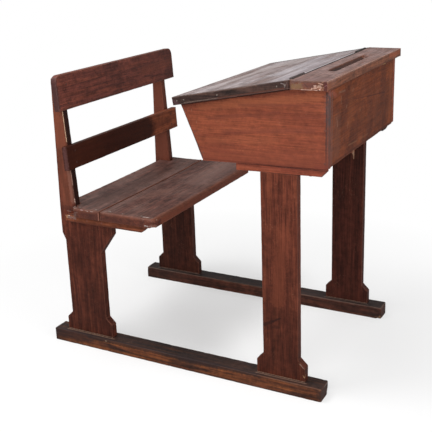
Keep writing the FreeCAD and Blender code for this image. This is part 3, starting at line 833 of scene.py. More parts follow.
CHIPS: dict[str, tuple[Chip, ...]] = {
    "right_runner": (
        Chip((806, -272.5, 34), 14, 2, 0.3), Chip((808, -222.5, 4), 12, 2.6, 0.3)),
    "right_bench_end": (
        Chip((96, -258, 548), 20, 1.6, 0.15), Chip((100, -258, 452), 24, 1.4, 0.15),
        Chip((192, -258, 60), 16, 1.2, 0.15)),
    "right_desk_standard": (
        Chip((761, -258, 52), 9, 1.6, 0.6), Chip((749, -258, 84), 9, 1.2, 0.3)),
    "left_runner": (
        Chip((807, 222.5, 2), 15, 3, 0.4), Chip((4, 222.5, 34), 10, 1.6, 0.2)),
    "rear_seat_board": (
        Chip((111, -280, 408), 9, 2.6, 0.75, 3), Chip((110, -264, 411), 7, 2, 0.6, 3),
        Chip((112, -283, 393), 8, 2.2, 0.4, 3.5)),
    "front_seat_board": (
        Chip((356, -281, 393), 12, 3, 0.35), Chip((334, -284, 411), 8, 1.8, 0.4, 4),
        Chip((362, -264, 409), 8, 1.6, 0.4, 4)),
    "right_seat_cleat": (
        Chip((84, -276, 389), 9, 1.8, 0.5, 3), Chip((102, -274, 389), 9, 2, 0.4, 3)),
    "right_box_side": (
        Chip((817, -259, 724), 10, 1.4, 0.2), Chip((817, -259, 584), 9, 1.6, 0.2)),
    "pen_rail": (
        Chip((792, -285, 766), 7, 2.2, 0.3, 3.5), Chip((803, -285, 773), 8, 3.4, 0.45, 3),
        Chip((811, -285, 768), 7, 2.8, 0.4, 3), Chip((818, -285, 780), 6, 1.8, 0.1, 3)),
}

MARKS: dict[str, list[Mark]] = {
    "right_runner": strokes(
        (176, -272, 31, 179, -272, 31, 2.4, 0xBEA082, 0.9)) + strokes(
        (4, 28, 120, 30, 20, 0x2E1E1D, 0.7, 1), (120, 37, 640, 37, 13, 0x2A1D1C, 0.7, 1.6),
        (420, 30, 520, 32, 14, 0x2A1D1C, 0.6, 1.4), y=-273) + strokes(
        (38, -261, 36, 196, -261, 36, 2.6, 0x7E6454, 0.7, 1.6),
        (630, -261, 36, 764, -261, 36, 2.4, 0x7A6052, 0.7, 1.6),
        (640, -271, 34, 800, -271, 34, 2.2, 0x623C2C, 0.5, 1.8),
        (812, -262, 18, 812, -230, 18, 24, 0x36241F, 0.85),
        (808, -248, 31, 808, -226, 33, 1.4, 0x8C8480, 0.7)),
    # Right bench end: the two broad marks that start it are painted light on the stile's upper part, above
    # the painted shade of the frame wood.
    "right_bench_end": strokes(
        (73, 590, 70, 740, 34, 0x8A4E39, 0.6, 0.5), (74, 420, 74, 560, 26, 0x7E4A38, 0.4, 0.6),
        (94, 424, 88, 536, 9, 0x8C6254, 0.45, 1), y=-258) + strokes(
        (109, -247, 392, 91, -247, 690, 17, 0x24130F, 0.95, 0.1)) + strokes(
        (91.4, 588, 86.4, 668, 1.9, 0xD2B092, 0.85, 0.9),
        (98.5, 470, 94.8, 530, 2.2, 0xA07C6E, 0.75, 1.4), (101.6, 420, 99, 462, 2, 0xC4A698, 0.8, 1.6),
        (56, 402, 102, 404, 9, 0x4E2C24, 0.6, 1.4), (82, 399, 90, 397, 1.6, 0x3C2824, 0.8, 1.5),
        (94, 406, 102, 410, 1.3, 0xB49E94, 0.7, 1.6), (72, 395, 84, 393, 1.8, 0x786058, 0.7, 1.6),
        y=-258) + strokes(
        (42, -259, 37, 190, -259, 37, 2.4, 0x927868, 0.75, 1.3)),
    "right_desk_standard": strokes(
        (655, 172, 676, 184, 6, 0x301712, 0.75), (676, 184, 696, 196, 3.4, 0x2C1612, 0.8, 1),
        (680, 171, 692, 171, 6, 0x341A14, 0.5, 1.6), (690, 240, 704, 420, 26, 0x7C402C, 0.35),
        y=-258) + strokes(
        (748, -257, 82, 759, -257, 72, 1.6, 0x968074, 0.6, 1.4),
        (634, -259, 37, 760, -259, 37, 2.4, 0x927462, 0.75, 1.3)),
    # Right desk bearer: the thin dark line along its top edge is painted shadow in the seam under the box
    # side.
    "right_desk_bearer": strokes(
        (592, 578, 815, 579, 1.5, 0x3E1C16, 0.85), (590, 570, 700, 571, 3, 0x8C4A36, 0.4, 1.8),
        (802, 564, 815, 576, 4, 0x623E36, 0.7), y=-258),
    "left_runner": strokes(
        (38, 36, 196, 36, 2.4, 0x705E54, 0.55, 1.5), (630, 36, 764, 36, 2.4, 0x746258, 0.6, 1.5), y=234),
    # Left bench end: the broad mark that starts it is painted light on the stile's upper part, above the
    # seat and its painted shade.
    "left_bench_end": strokes(
        (78, 230, 440, 70, 230, 700, 42, 0x744030, 0.7, 0.6),
        (103, 236, 420, 90, 236, 640, 2, 0x46241C, 0.6),
        (42, 236, 37, 190, 236, 37, 2.2, 0x846E62, 0.6, 1.4)),
    "left_desk_standard": strokes(
        (634, 37, 760, 37, 2.2, 0x8C7668, 0.65, 1.4), y=236),
    "left_desk_bearer": strokes(
        (790, 240, 566, 817, 250, 578, 46, 0x1A1413, 1, 0.3)),
    # Rear seat board: the light mark at the joint on the near end is painted light that lifts the shade in
    # the gap between the boards.
    "rear_seat_board": strokes(
        (111, -283, 407, 118, -277, 412, 1.8, 0xDED4CE, 0.95, 1.5),
        (110, -270, 413, 112, -260, 413, 1.6, 0xCEC4BE, 0.85, 1.6),
        (112, -284, 400, 126, -284, 404, 2.4, 0x846860, 0.7, 1.8),
        (112, -284, 392, 118, -284, 396, 5, 0x7E6862, 0.7, 1.6),
        (136, -281, 411, 142, -281, 411, 1.6, 0xB09696, 0.7, 1.6),
        (116, -285, 399, 195, -285, 400, 15, 0x4E2D26, 0.45, 1.6),
        (195.5, -283, 392, 195.5, -283, 408, 4, 0x8C5C4C, 0.75, 1),
        (168, -281, 411, 176, -281, 411, 1.3, 0x968078, 0.6, 1.8),
        (124, -267, 413, 125, -267, 413, 2.6, 0xBAB0A8, 0.85),
        (176, -267, 413, 176, -267, 413, 2.8, 0xB0A69E, 0.85),
        (150, -282, 413, 160, -283, 411, 1.6, 0xB2A298, 0.7),
        (150, -200, 413, 152, 120, 413, 34, 0x5C3E36, 0.35)),
    # Front seat board: the light mark at the joint on the near end is painted light that lifts the shade in
    # the gap between the boards.
    "front_seat_board": strokes(
        (200, -285, 399, 350, -285, 402, 15, 0x4E2D26, 0.45, 1.6),
        (198.5, -283, 392, 198.5, -283, 408, 4, 0x8C5C4C, 0.75, 1)) + strokes(
        (221, -267, 221, -267, 2.8, 0xB4AAA2, 0.85), (262, -270, 262, -270, 2.2, 0xA49A92, 0.7),
        (326, -271, 340, -270, 2.4, 0xBEB0A8, 0.8, 1.5), z=413) + strokes(
        (342, -272, 412, 354, -270, 412, 2, 0xB0A098, 0.75, 1.6),
        (338, -283, 395, 350, -281, 394, 2.8, 0xBAACA4, 0.75, 1.6),
        (352, -279, 394, 362, -270, 394, 3, 0xCEC2BC, 0.8, 1.5),
        (363, -240, 399, 363, 260, 399, 11, 0x7E402A, 0.6, 1.4),
        (300, 60, 413, 310, 250, 413, 50, 0x7E6058, 0.4, 1.3),
        (240, -120, 413, 262, -40, 413, 24, 0x805C50, 0.3, 1.4)),
    "right_seat_cleat": strokes(
        (79, -276, 388, 92, -276, 388, 1.7, 0xD6CCC6, 0.9, 1.5),
        (86, -276, 384, 112, -276, 383, 5, 0x7E6862, 0.65, 1.6),
        (78, -266, 391, 106, -266, 391, 7, 0x42302C, 0.75, 1.4),
        (110, -276, 388, 334, -276, 389, 1.5, 0x42221C, 0.6),
        (84, -276, 373, 322, -276, 372, 4, 0x542C22, 0.6)),
    # Middle back rail: the broad dark mark that starts it is painted shadow over the rail's near part.
    "middle_back_rail": strokes(
        (110, -300, 548, 110, 96, 548, 66, 0x32140C, 0.92, 0.5),
        (110, -230, 556, 110, 60, 556, 9, 0x421C12, 0.4, 1.6),
        (104, -288, 520, 101, -288, 574, 11, 0x5C3C3A, 0.9, 1),
        (112, -283, 514, 109, -283, 578, 1.6, 0x76544E, 0.5, 1.8)),
    "top_back_rail": strokes(
        (94, -295, 684, 90, -295, 756, 18, 0x462D2C, 0.85, 0.8),
        (100, -270, 678, 100, 10, 678, 5, 0x4E2C24, 0.4, 1.6),
        (96, 120, 720, 96, 280, 724, 18, 0x703A2A, 0.4, 1.4)),
    # Right box side: the dark lines along its top edge, under the lid and under the pen rail's end, are
    # painted shadow of their overhang. The thin dark line along its lower edge is painted shadow in the
    # seam over the bearer.
    "right_box_side": strokes(
        (770, -259, 754, 806, -259, 752, 7, 0xAC5C3A, 0.4, 1.6),
        (811.5, -259, 586, 812.5, -259, 756, 2.4, 0x3E201E, 0.8, 1)) + strokes(
        (-252, 590, -252, 690, 12, 0x5C3E36, 0.75, 1), (-252, 690, -252, 748, 13, 0x52403E, 0.85, 1),
        (-254, 754, -244, 748, 6, 0x945246, 0.6, 1.8), x=817) + strokes(
        (812, 586, 790, 583, 9, 0x703028, 0.6, 1.5), (504, 580, 812, 582, 1.6, 0x461E18, 0.7),
        (445, 706, 499, 584, 4, 0x4E342F), (446, 709, 736, 761, 3.8, 0x361915, 0.85, 0.8),
        (736, 762, 815, 762, 2.6, 0x2A1613, 0.85, 0.8), (530, 584, 800, 588, 42, 0x763929, 0.52, 1.4),
        (500, 706, 790, 744, 13, 0x9E5A3A, 0.4, 1.7), (520, 680, 700, 704, 6, 0x6C362A, 0.4, 1.8),
        (600, 716, 796, 726, 4, 0x70382C, 0.4, 1.8), (560, 652, 780, 668, 8, 0x763C2E, 0.35, 1.8),
        (640, 690, 800, 700, 3, 0x72382C, 0.4, 1.8), (520, 628, 690, 640, 12, 0x945036, 0.3, 1.7),
        (474, 700, 475, 694, 0.9, 0xB08268, 0.4, 1.9), (486, 672, 487, 666, 0.8, 0xAC7C62, 0.4, 1.9),
        y=-259),
    "box_back_panel": strokes(
        (-206, 620, -202, 680, 34, 0x684438, 0.4, 1.4), (-150, 640, -146, 730, 22, 0x5C3226, 0.3, 1.4),
        (-112, 660, -108, 730, 22, 0x80482E, 0.35, 1.4), (-66, 596, -62, 686, 16, 0x583024, 0.3, 1.4),
        (-20, 650, -16, 750, 22, 0x78422C, 0.3, 1.4), (36, 600, 40, 700, 26, 0x583024, 0.35, 1.4),
        (92, 630, 96, 690, 26, 0x703E2A, 0.3, 1.4), (150, 690, 154, 734, 34, 0x4C281F, 0.5, 1.4),
        (-140, 700, -136, 706, 1.6, 0xAA8068, 0.6, 1.4), (-96, 730, -92, 738, 1.3, 0xA47C64, 0.6, 1.4),
        (-40, 672, -36, 677, 1.3, 0xA0765C, 0.5, 1.4), (216, 600, 220, 745, 14, 0x8E4C2C, 0.5, 1.4),
        (88, 761, 168, 759, 1.3, 0xD6AC6E, 0.85, 0.8), (-236, 754, -214, 742, 8, 0x8E4E40, 0.5, 1.9),
        (-190, 744, -150, 742, 3, 0x846250, 0.45, 1.9), (-240, 588, 236, 588, 4, 0x422018, 0.6, 1.6),
        x=817) + strokes(
        (819, -84, 580, 819, -78, 562, 9, 0x8C6A54, 0.9, 0.4)) + strokes(
        (130, 630, 196, 660, 60, 0x4E2C22, 0.35), (-200, 668, -204, 690, 1.4, 0xA47C68, 0.6, 1.4),
        (-176, 716, -176, 734, 1.5, 0x9E745C, 0.6, 1.4), (-130, 650, -126, 664, 1.3, 0x9A705A, 0.5, 1.4),
        (-120, 607, -60, 604, 2.4, 0x845A40, 0.5, 1.8), (-40, 604, 30, 602, 2.2, 0x80543C, 0.5, 1.8),
        (-88, 711, 14, 699, 1.2, 0x4A221C, 0.7, 1.5), (14, 699, 172, 683, 1.6, 0x421E1A, 0.85, 1.5),
        (-236, 590, -236, 750, 6, 0x70524A, 0.5, 1.6), x=817),
    # Pen rail: the three dark marks along the groove are painted shade in it, darkest at its near end. The
    # dark line at the hinged edge is painted shade in the gap to the lid. The orange-red mark at the far
    # end of the rear face is a painted patch of light.
    "pen_rail": strokes(
        (744, 770, 764, 772, 8, 0x785C41, 0.75, 1), (772, 774, 792, 775, 9, 0x663E36),
        (740, 782, 808, 783, 3.6, 0x583C34, 0.75, 1.3), (772, 776, 778, 771, 2.2, 0x54362E, 0.65, 1.8),
        (796, 765, 806, 764, 1.6, 0x422822, 0.8, 1.6), (738, 765, 738, 782, 3, 0x54382E, 0.6),
        (819, 766, 819, 780, 6, 0x4C2222, 0.85), (816, 773, 822, 776, 1.2, 0x805454, 0.7, 1.8),
        (764, 764, 800, 764, 1.5, 0xC49C8C, 0.7, 1.6), (788, 767, 808, 772, 3, 0xCCA290, 0.8, 1.9),
        (794, 773, 808, 775, 2.4, 0xD8B4A4, 0.8, 1.9), (804, 779, 812, 777, 2.2, 0xC89C8A, 0.8, 1.9),
        (806, 766, 814, 770, 2.4, 0xE2C0B2, 0.85, 1.9), y=-285) + strokes(
        (783, -118, 770, 783, 116, 770, 13, 0x5C3226, 0.85, 0.3),
        (771, -112, 774, 771, 110, 774, 11.5, 0x401E14, 0.9, 0.2),
        (776, -128, 778, 776, -60, 774, 9, 0x28140E, 0.8, 0.4),
        (792.6, -112, 784, 792.6, 118, 784, 1.5, 0xC4ACA4, 0.5),
        (736.8, -196, 784, 736.8, 172, 784, 4.2, 0x2E2020, 0.95, 0.5),
        (826, -285, 763, 826, 285, 763, 3.2, 0x5C3020, 0.9, 0.8),
        (823, -285, 784.5, 823, 285, 784.5, 2.2, 0x9E7668, 0.6, 1.5),
        (752, -270, 784, 812, -250, 784, 22, 0x7E6260, 0.4, 1.5),
        (800, -60, 784, 804, 90, 784, 16, 0x806058, 0.35, 1.5),
        (826, 180, 776, 826, 272, 776, 8, 0xA05234, 0.5, 1.4)),
    # Lid panel: the pale grey bands are worn finish and painted sheen. The pale line along the hinged edge
    # is a painted highlight on its arris, and the dark line beside it is painted shade in the gap to the
    # pen rail.
    "lid_panel": strokes(
        (700, -250, 778, 694, 110, 777, 42, 0xB2ACB4, 0.3, 1.4),
        (640, -120, 767, 632, 190, 765, 26, 0xB0AAB0, 0.45, 1.5),
        (560, -240, 752, 566, 60, 753, 22, 0xAA9EA0, 0.4, 1.5),
        (540, 150, 750, 560, 262, 752, 60, 0xB2A6A4, 0.45),
        (500, -180, 743, 520, 120, 746, 34, 0xAA9C98, 0.35, 1.4),
        (440, 277, 731, 734, 277, 784, 17, 0x685F60, 0.8, 0.8),
        (470, -262, 736, 462, 262, 735, 16, 0x806A64, 0.25, 1.4),
        (500, -200, 741, 496, 240, 741, 14, 0xB0A4A4, 0.35, 1.6),
        (520, -150, 745, 528, 20, 747, 12, 0x624C48, 0.5, 1.5),
        (606, -40, 760, 598, 170, 759, 10, 0x685450, 0.5, 1.5),
        (670, -200, 772, 664, -60, 771, 8, 0x705C5A, 0.45, 1.5),
        (728.5, -196, 782.7, 728.5, 172, 782.7, 3, 0xCECACE, 0.65, 1.4),
        (734.4, -196, 783.2, 734.4, 172, 783.2, 3.8, 0x2C2022, 0.95, 0.5),
        (716, -220, 781, 706, -40, 779, 4, 0x786A6E, 0.5, 1.7),
        (690, -60, 777, 684, 130, 776, 6, 0x7A6868, 0.5, 1.6),
        (650, -250, 769, 640, -150, 767, 7, 0x786462, 0.45, 1.6),
        (580, -180, 755, 590, -60, 757, 9, 0x6C5650, 0.5, 1.5),
        (724, -262, 781, 718, -214, 780, 10, 0x6E6062, 0.5, 1.4)),
    "right_lid_lipping": strokes(
        (470, 719, 560, 735, 1.1, 0x8A7468, 0.4, 2.2), (584, 757, 650, 769, 0.9, 0x967E74, 0.5, 1.9),
        (716, 776, 724, 774, 0.9, 0xA89E9C, 0.5, 2.2), (724, 766, 730, 778, 0.8, 0xA09694, 0.45, 2.2),
        (660, 768, 720, 780, 3, 0x342422, 0.6, 1.5), (440, 722, 452, 716, 5, 0x5C3E42, 0.5, 1.5),
        y=-285) + strokes(
        (560, -284, 735, 724, -284, 765, 2.4, 0x5C3226, 0.6)),
}


# Sub-assemblies


def growing(place: np.ndarray, start: float, end: float) -> np.ndarray:
    """Share that grows from 0 at one place to 1 at another and stays there."""
    return np.clip((place - start) / (end - start), 0, 1)


@dataclass(frozen=True)
class Spring:
    """Bend of the box's lower edges and the bearers: up at the rear, down to the front."""

    still: float = 690.0
    rear: float = 817.0
    rise: float = 2.0
    front_share: float = 0.9
    drop: float = 0.9
    drop_run: tuple[float, float] = (640.0, 588.0)
    further_run: tuple[float, float] = (588.0, 500.0)

    def rise_at(self, station: np.ndarray) -> np.ndarray:
        """Rise of the bent edge at each station."""
        share = np.where(station > self.still, 1.0, self.front_share)
        tilt = self.rise * (station - self.still) / (self.rear - self.still) * share
        return tilt - self.drop * growing(station, *self.drop_run)


SPRUNG = Spring()


@dataclass
class FloorFrame:
    """Runners, bench ends and desk standards: everything that carries the seat and the box."""

    runner_length: float = 808.0
    runner_width: float = 50.0
    runner_height: float = 36.0
    runner_corner: float = 3.6
    runner_arris: tuple[float, float] = (1.6, 3.0)
    half_width: float = 258.0
    board: float = 21.0
    foot_height: float = 38.0
    shoulder: float = 18.0
    spread: float = 18.0
    bench_shank: tuple[float, float] = (58.0, 174.0)
    desk_shank: tuple[float, float] = (650.0, 743.0)
    bracket_reach: float = 40.0
    bracket_rise: tuple[float, float] = (286.0, 342.0)
    stile_foot: tuple[float, float] = (48.5, 103.5)
    stile_head: tuple[float, float] = (56.2, 81.1)
    stile_top: float = 755.0
    heel: tuple[float, float] = (309.0, 329.0)
    seat_underside: float = 389.0
    bearer: tuple[float, float] = (588.0, 817.0)
    bearer_rise: tuple[float, float] = (562.0, 579.5)
    bearer_width: float = 30.0
    bearer_chamfer: float = 15.0
    bearer_cut: float = 13.0
    far_bearer_cut: float = 11.0
    cut_run: float = 27.0
    cut_width: float = 26.0

    def foot(self, shank: tuple[float, float]) -> list[Corner]:
        """Corners of a standing board's foot.

        Args:
            shank: Rear and front station of the shank.

        Returns:
            Corners from the rear shank over the floor to the front shank.
        """
        rear, front = shank
        low = self.runner_height
        knee = low + self.foot_height
        top = knee + self.shoulder
        return corners((rear, top), (rear - self.spread, knee, 3.0), (rear - self.spread, low),
                       (front + self.spread, low), (front + self.spread, knee, 3.0), (front, top))

    def build_runner(self, side: Side) -> None:
        """Build one floor runner."""
        centre = side.value * (self.half_width - self.board / 2)
        half = self.runner_width / 2
        outline = rectangle(0, self.runner_length, centre - half, centre + half, self.runner_corner)
        board = Board(f"{side.word}_runner", Lie((0.0, 0.0, 0.0), *FLAT), outline, self.runner_height,
                      arris=self.runner_arris, wear=1.3, hollow=0.4, seed=11 + side.value)
        fit(board, side.pick(RUNNER_WOOD, FAR_RUNNER_WOOD))

    def build_bench_end(self, side: Side) -> None:
        """Build one bench end: foot, shank, bracket and back stile."""
        rear, front = self.bench_shank
        seat, bracket = self.seat_underside, front + self.bracket_reach
        (low, high), (heel_low, heel_high) = self.bracket_rise, self.heel
        (stile_rear, stile_front), (head_rear, head_front) = self.stile_foot, self.stile_head
        outline = self.foot(self.bench_shank) + corners(
            (front, low), (bracket, high, 3.0), (bracket, seat), (stile_front, seat),
            (head_front, self.stile_top, 4.0), (head_rear, self.stile_top, 4.0), (stile_rear, seat),
            (stile_rear, heel_high, 3.0), (rear, heel_low))
        fit(on_edge(side, "bench_end", outline, self.half_width, self.board, 21),
            side.pick(BENCH_END_WOOD, FAR_BENCH_END_SHADED_WOOD))

    def build_desk_standard(self, side: Side) -> None:
        """Build one desk standard."""
        rear, front = self.desk_shank
        top = self.bearer_rise[0]
        outline = self.foot(self.desk_shank) + corners((front, top), (rear, top))
        fit(on_edge(side, "desk_standard", outline, self.half_width, self.board, 31),
            side.pick(SHANK_WOOD, FAR_STANDARD_SHADED_WOOD))

    def build_bearer(self, side: Side) -> None:
        """Build one bearer under the box."""
        front, rear = self.bearer
        low, high = self.bearer_rise
        inner, least = side.pick((0.0, 0.0), (self.bearer_width, self.far_bearer_cut))

        def sprung(u: np.ndarray, v: np.ndarray, w: np.ndarray) -> None:
            """Let the bearer fall a little to the front and cut its rear end back on the inside."""
            v += SPRUNG.rise_at(u)
            cut = self.bearer_cut * np.clip(1 - np.abs(w - inner) / self.cut_width, 0, 1)
            u -= np.maximum(least, cut) * growing(u, rear - self.cut_run, rear)

        outline = corners((front, low), (rear - self.bearer_chamfer, low, 2.5),
                          (rear, low + self.bearer_chamfer), (rear, high, 0.8), (front, high, 0.8))
        fit(on_edge(side, "desk_bearer", outline, self.half_width, self.bearer_width, 41, shape=sprung),
            BEARER_WOOD)

    def build(self) -> None:
        """Build the floor frame."""
        for side in Side:
            self.build_runner(side)
            self.build_bench_end(side)
            self.build_desk_standard(side)
            self.build_bearer(side)


@dataclass
class Seat:
    """Two seat boards and the cleats that carry them."""

    underside: float = 389.0
    thickness: float = 24.5
    rear: float = 64.0
    joint: float = 195.5
    gap: float = 3.0
    front: float = 364.0
    half_length: float = 284.0
    nosing: float = 9.0
    far_nosing: float = 4.0
    corner: float = 14.0
    notch_front: float = 104.5
    notch: tuple[float, float] = (236.0, 259.0)
    dish: float = 1.6
    dish_reach: tuple[float, float] = (190.0, 230.0)
    far_lift: tuple[float, float] = (1.1, 1.5)
    far_lift_start: float = 120.0
    far_lift_run: tuple[float, float] = (230.0, 300.0)
    cleat: tuple[float, float] = (78.0, 342.0)
    cleat_width: float = 18.0
    cleat_outer: float = 276.0
    cleat_rake: float = 21.0

    def dished(self, centre: float) -> Shaper:
        """Hollow that sitting has worn into a board.

        Args:
            centre: Station where the hollow is deepest.

        Returns:
            Function that lowers the local points.
        """
        length, width = self.dish_reach
        lift, more = self.far_lift

        def lower(u: np.ndarray, v: np.ndarray, w: np.ndarray) -> None:
            """Lower the upper points towards the middle of the seat and lift the far end."""
            level = w / self.thickness
            reach = np.clip(1 - (v / width) ** 2, 0, 1) * np.clip(1 - ((u - centre) / length) ** 2, 0, 1)
            w -= self.dish * reach * level ** 2
            front = lift + more * growing(u, *self.far_lift_run)
            w += front * growing(v, self.far_lift_start, self.half_length) ** 2 * level

        return lower

    def build_board(self, node: str, outline: Sequence[Corner], arris: Arris, centre: float,
                    seed: int) -> None:
        """Build one seat board.

        Args:
            node: Name of its solid.
            outline: Its corners.
            arris: Radii of its arrises at a place of the outline.
            centre: Station where its hollow is deepest.
            seed: Number of its wear and figure.
        """
        fit(Board(node, Lie((0.0, 0.0, self.underside), *FLAT), outline, self.thickness, arris_at=arris,
                  rings=5, shape=self.dished(centre), wear=1.1, hollow=0.35, seed=seed), SEAT_WOOD)

    def build_rear_board(self) -> None:
        """Build the rear seat board, notched for the stiles, with its split right ear."""
        (low, high), ends, stile = self.notch, self.half_length, self.notch_front
        outline = corners(
            (112.0, -ends, 1.2), (self.joint, -ends, 3.0), (self.joint, ends, 3.0),
            (self.rear, ends, 5.0), (self.rear, high, 1.4), (stile, high), (stile, low),
            (self.rear, low, 1.4), (self.rear, -low, 1.4), (stile, -low), (stile, -257.0, 0.6),
            (110.4, -260.0, 0.6), (112.2, -267.0, 0.6), (110.0, -273.0, 0.6), (113.0, -279.0, 0.6))

        def arris(_: float, v: float) -> tuple[float, float]:
            """Wide rounding over the ends, small elsewhere."""
            return 1.2, (self.nosing if abs(v) > ends - 1 else 2.0)

        self.build_board("rear_seat_board", outline, arris, 190.0, 51)

    def build_front_board(self) -> None:
        """Build the front seat board with its nosing and rounded corners."""
        rear, front, ends = self.joint + self.gap, self.front, self.half_length

        def arris(u: float, v: float) -> tuple[float, float]:
            """Wide rounding along the front and the ends, small along the joint."""
            if v > ends - 1 and u < front - self.corner:
                return 1.2, self.far_nosing
            return (1.2, 2.0) if u < rear + 1 else (1.6, self.nosing)

        outline = corners((rear, -ends, 3.0), (front, -ends, self.corner), (front, ends, self.corner),
                          (rear, ends, 3.0))
        self.build_board("front_seat_board", outline, arris, 200.0, 52)

    def build_cleat(self, side: Side) -> None:
        """Build one cleat."""
        rear, front = self.cleat
        low, high = self.underside - self.cleat_width, self.underside
        outline = corners((rear, low), (front - self.cleat_rake, low, 2.5), (front, high, 1.2),
                          (rear, high, 1.2))
        fit(on_edge(side, "seat_cleat", outline, self.cleat_outer, self.cleat_width, 61), CLEAT_WOOD)

    def build(self) -> None:
        """Build the seat."""
        self.build_rear_board()
        self.build_front_board()
        for side in Side:
            self.build_cleat(side)


@dataclass
class BackRest:
    """Two rails planted on the stiles' leaning front edges."""

    stile_front: float = 103.5
    foot: float = 389.0
    lean: float = 3.5
    thickness: float = 16.0

    def build_rail(self, node: str, rise: float, width: float, half_length: float, radius: float,
                   finish: WoodFinish, seed: int) -> None:
        """Build one rail.

        Args:
            node: Name of its solid.
            rise: Distance of its lower edge up the stile from the seat's underside.
            width: Its width.
            half_length: Half its length.
            radius: Radius of its upper corners.
            finish: Its finish.
            seed: Number of its wear and figure.
        """
        up = leaning(self.lean)
        start = Vector((self.stile_front, 0, self.foot)) + up * rise
        outline = corners((-half_length, 0, 1.8), (half_length, 0, 1.8), (half_length, width, radius),
                          (-half_length, width, radius))
        fit(Board(node, Lie(tuple(start), Vector((0, 1, 0)), up), outline, self.thickness, arris=(1.2, 2.2),
                  wear=1.0, hollow=0.3, seed=seed), finish)

    def build(self) -> None:
        """Build the back rest."""
        self.build_rail("middle_back_rail", 126.5, 64.0, 283.0, 1.8, MIDDLE_RAIL_WOOD, 71)
        self.build_rail("top_back_rail", 284.5, 93.0, 290.0, 20.0, BACK_WOOD, 72)


def leaning(degrees: float) -> Vector:
    """Upward direction that leans to the bench end by some degrees."""
    return Vector((-math.sin(math.radians(degrees)), 0, math.cos(math.radians(degrees))))


@dataclass
class BookBox:
    """Book box: two sides, back and front panels and two bottom boards."""

    floor: float = 579.5
    rear: float = 817.0
    rear_top: float = 763.0
    bottom_front: float = 500.4
    front_top: tuple[float, float] = (444.6, 710.9)
    hinge: float = 736.0
    half_width: float = 259.0
    side_thickness: float = 18.0
    panel: float = 16.0
    bottom: float = 10.0
    bottom_joint: tuple[float, float] = (658.2, 659.2)
    back_lift: float = 4.5
    spring_height: float = 60.0
    far_corner_lift: float = 4.0
    far_corner_run: tuple[float, float] = (788.0, 812.0)
    splinter_share: float = 0.14
    rake: float = 23.0
    slope: float = 10.2

    @property
    def inner(self) -> float:
        """Half the width between the sides."""
        return self.half_width - self.side_thickness

    def build_side(self, side: Side) -> None:
        """Build one side of the box."""

        def sprung(u: np.ndarray, v: np.ndarray, _: np.ndarray) -> None:
            """Let the lower edge fall a little to the front, and lift the far side's rear corner."""
            low = np.clip(1 - (v - self.floor) / self.spring_height, 0, 1)
            v += low * SPRUNG.rise_at(u)
            v -= SPRUNG.drop * low * growing(u, *SPRUNG.further_run)
            v += side.pick(0.0, self.far_corner_lift) * low * growing(u, *self.far_corner_run)

        outline = corners((self.bottom_front, self.floor, 2.0), (self.rear, self.floor, 2.0),
                          (self.rear, self.rear_top, 1.2), (self.hinge, self.rear_top, 1.2),
                          (*self.front_top, 2.0))
        fit(on_edge(side, "box_side", outline, self.half_width, self.side_thickness, 81, shape=sprung,
                    hollow=0.3), BOX_WOOD)

    def build_back(self) -> None:
        """Build the back panel with the splinter that hangs from its lower edge."""
        low = self.floor + self.back_lift
        splinter = corners((-104.0, low), (-92.0, low - 3.0), (-84.0, low - 9.0), (-78.0, low - 23.0, 0.4),
                           (-76.0, low - 8.0), (-73.0, low))

        def thin(_: np.ndarray, v: np.ndarray, w: np.ndarray) -> None:
            """Thin the splinter to a sliver of the outer face."""
            share = 1 - (1 - self.splinter_share) * growing(v, low, low - 4.0)
            w[:] = self.panel - (self.panel - w) * share

        first, *others = rectangle(-self.inner, self.inner, low, self.rear_top, 1.2)
        fit(Board("box_back_panel", Lie((self.rear - self.panel, 0.0, 0.0), *FACING_REAR),
                  [first, *splinter, *others], self.panel, arris=(0.8, 1.0), shape=thin, hollow=0.45,
                  seed=83), BACK_PANEL_WOOD)

    def build_front(self) -> None:
        """Build the raked front panel, its long edges level with the floor and the lid."""
        width = (self.front_top[1] - self.floor) / math.cos(math.radians(self.rake))
        top_slant = math.tan(math.radians(self.rake - self.slope))
        bottom_slant = math.tan(math.radians(self.rake))

        def bevel(_: np.ndarray, v: np.ndarray, w: np.ndarray) -> None:
            """Set the outer face on the rake and slant both long edges."""
            w -= self.panel
            share = v / width
            v += w * (bottom_slant * (1 - share) + top_slant * share)

        lie = Lie((self.bottom_front, 0.0, self.floor), Vector((0, -1, 0)), leaning(self.rake))
        fit(Board("box_front_panel", lie, rectangle(-self.inner, self.inner, 0, width, 1.2), self.panel,
                  arris=(0.9, 0.9), seed=84, shape=bevel), PANEL_WOOD)

    def build_bottoms(self) -> None:
        """Build the bottom boards, the front one cut to the front panel's rake."""
        slant = math.tan(math.radians(self.rake))
        start = self.bottom_front + self.panel / math.cos(math.radians(self.rake))

        def raked(u: np.ndarray, _: np.ndarray, w: np.ndarray) -> None:
            """Slant the front board's front edge."""
            u -= np.clip(1 - (u - start) / 20.0, 0, 1) * w * slant

        front, rear = self.bottom_joint
        for node, low, high, shape, seed in (("front_bottom_board", start, front, raked, 85),
                                             ("rear_bottom_board", rear, self.rear - self.panel, None, 86)):
            outline = rectangle(low, high, -self.inner, self.inner, 1.0)
            fit(Board(node, Lie((0.0, 0.0, self.floor), *FLAT), outline, self.bottom, arris=(0.8, 0.8),
                      shape=shape, pitch=9.0, seed=seed), INNER_WOOD)

    def build(self) -> None:
        """Build the box."""
        for side in Side:
            self.build_side(side)
        self.build_back()
        self.build_front()
        self.build_bottoms()


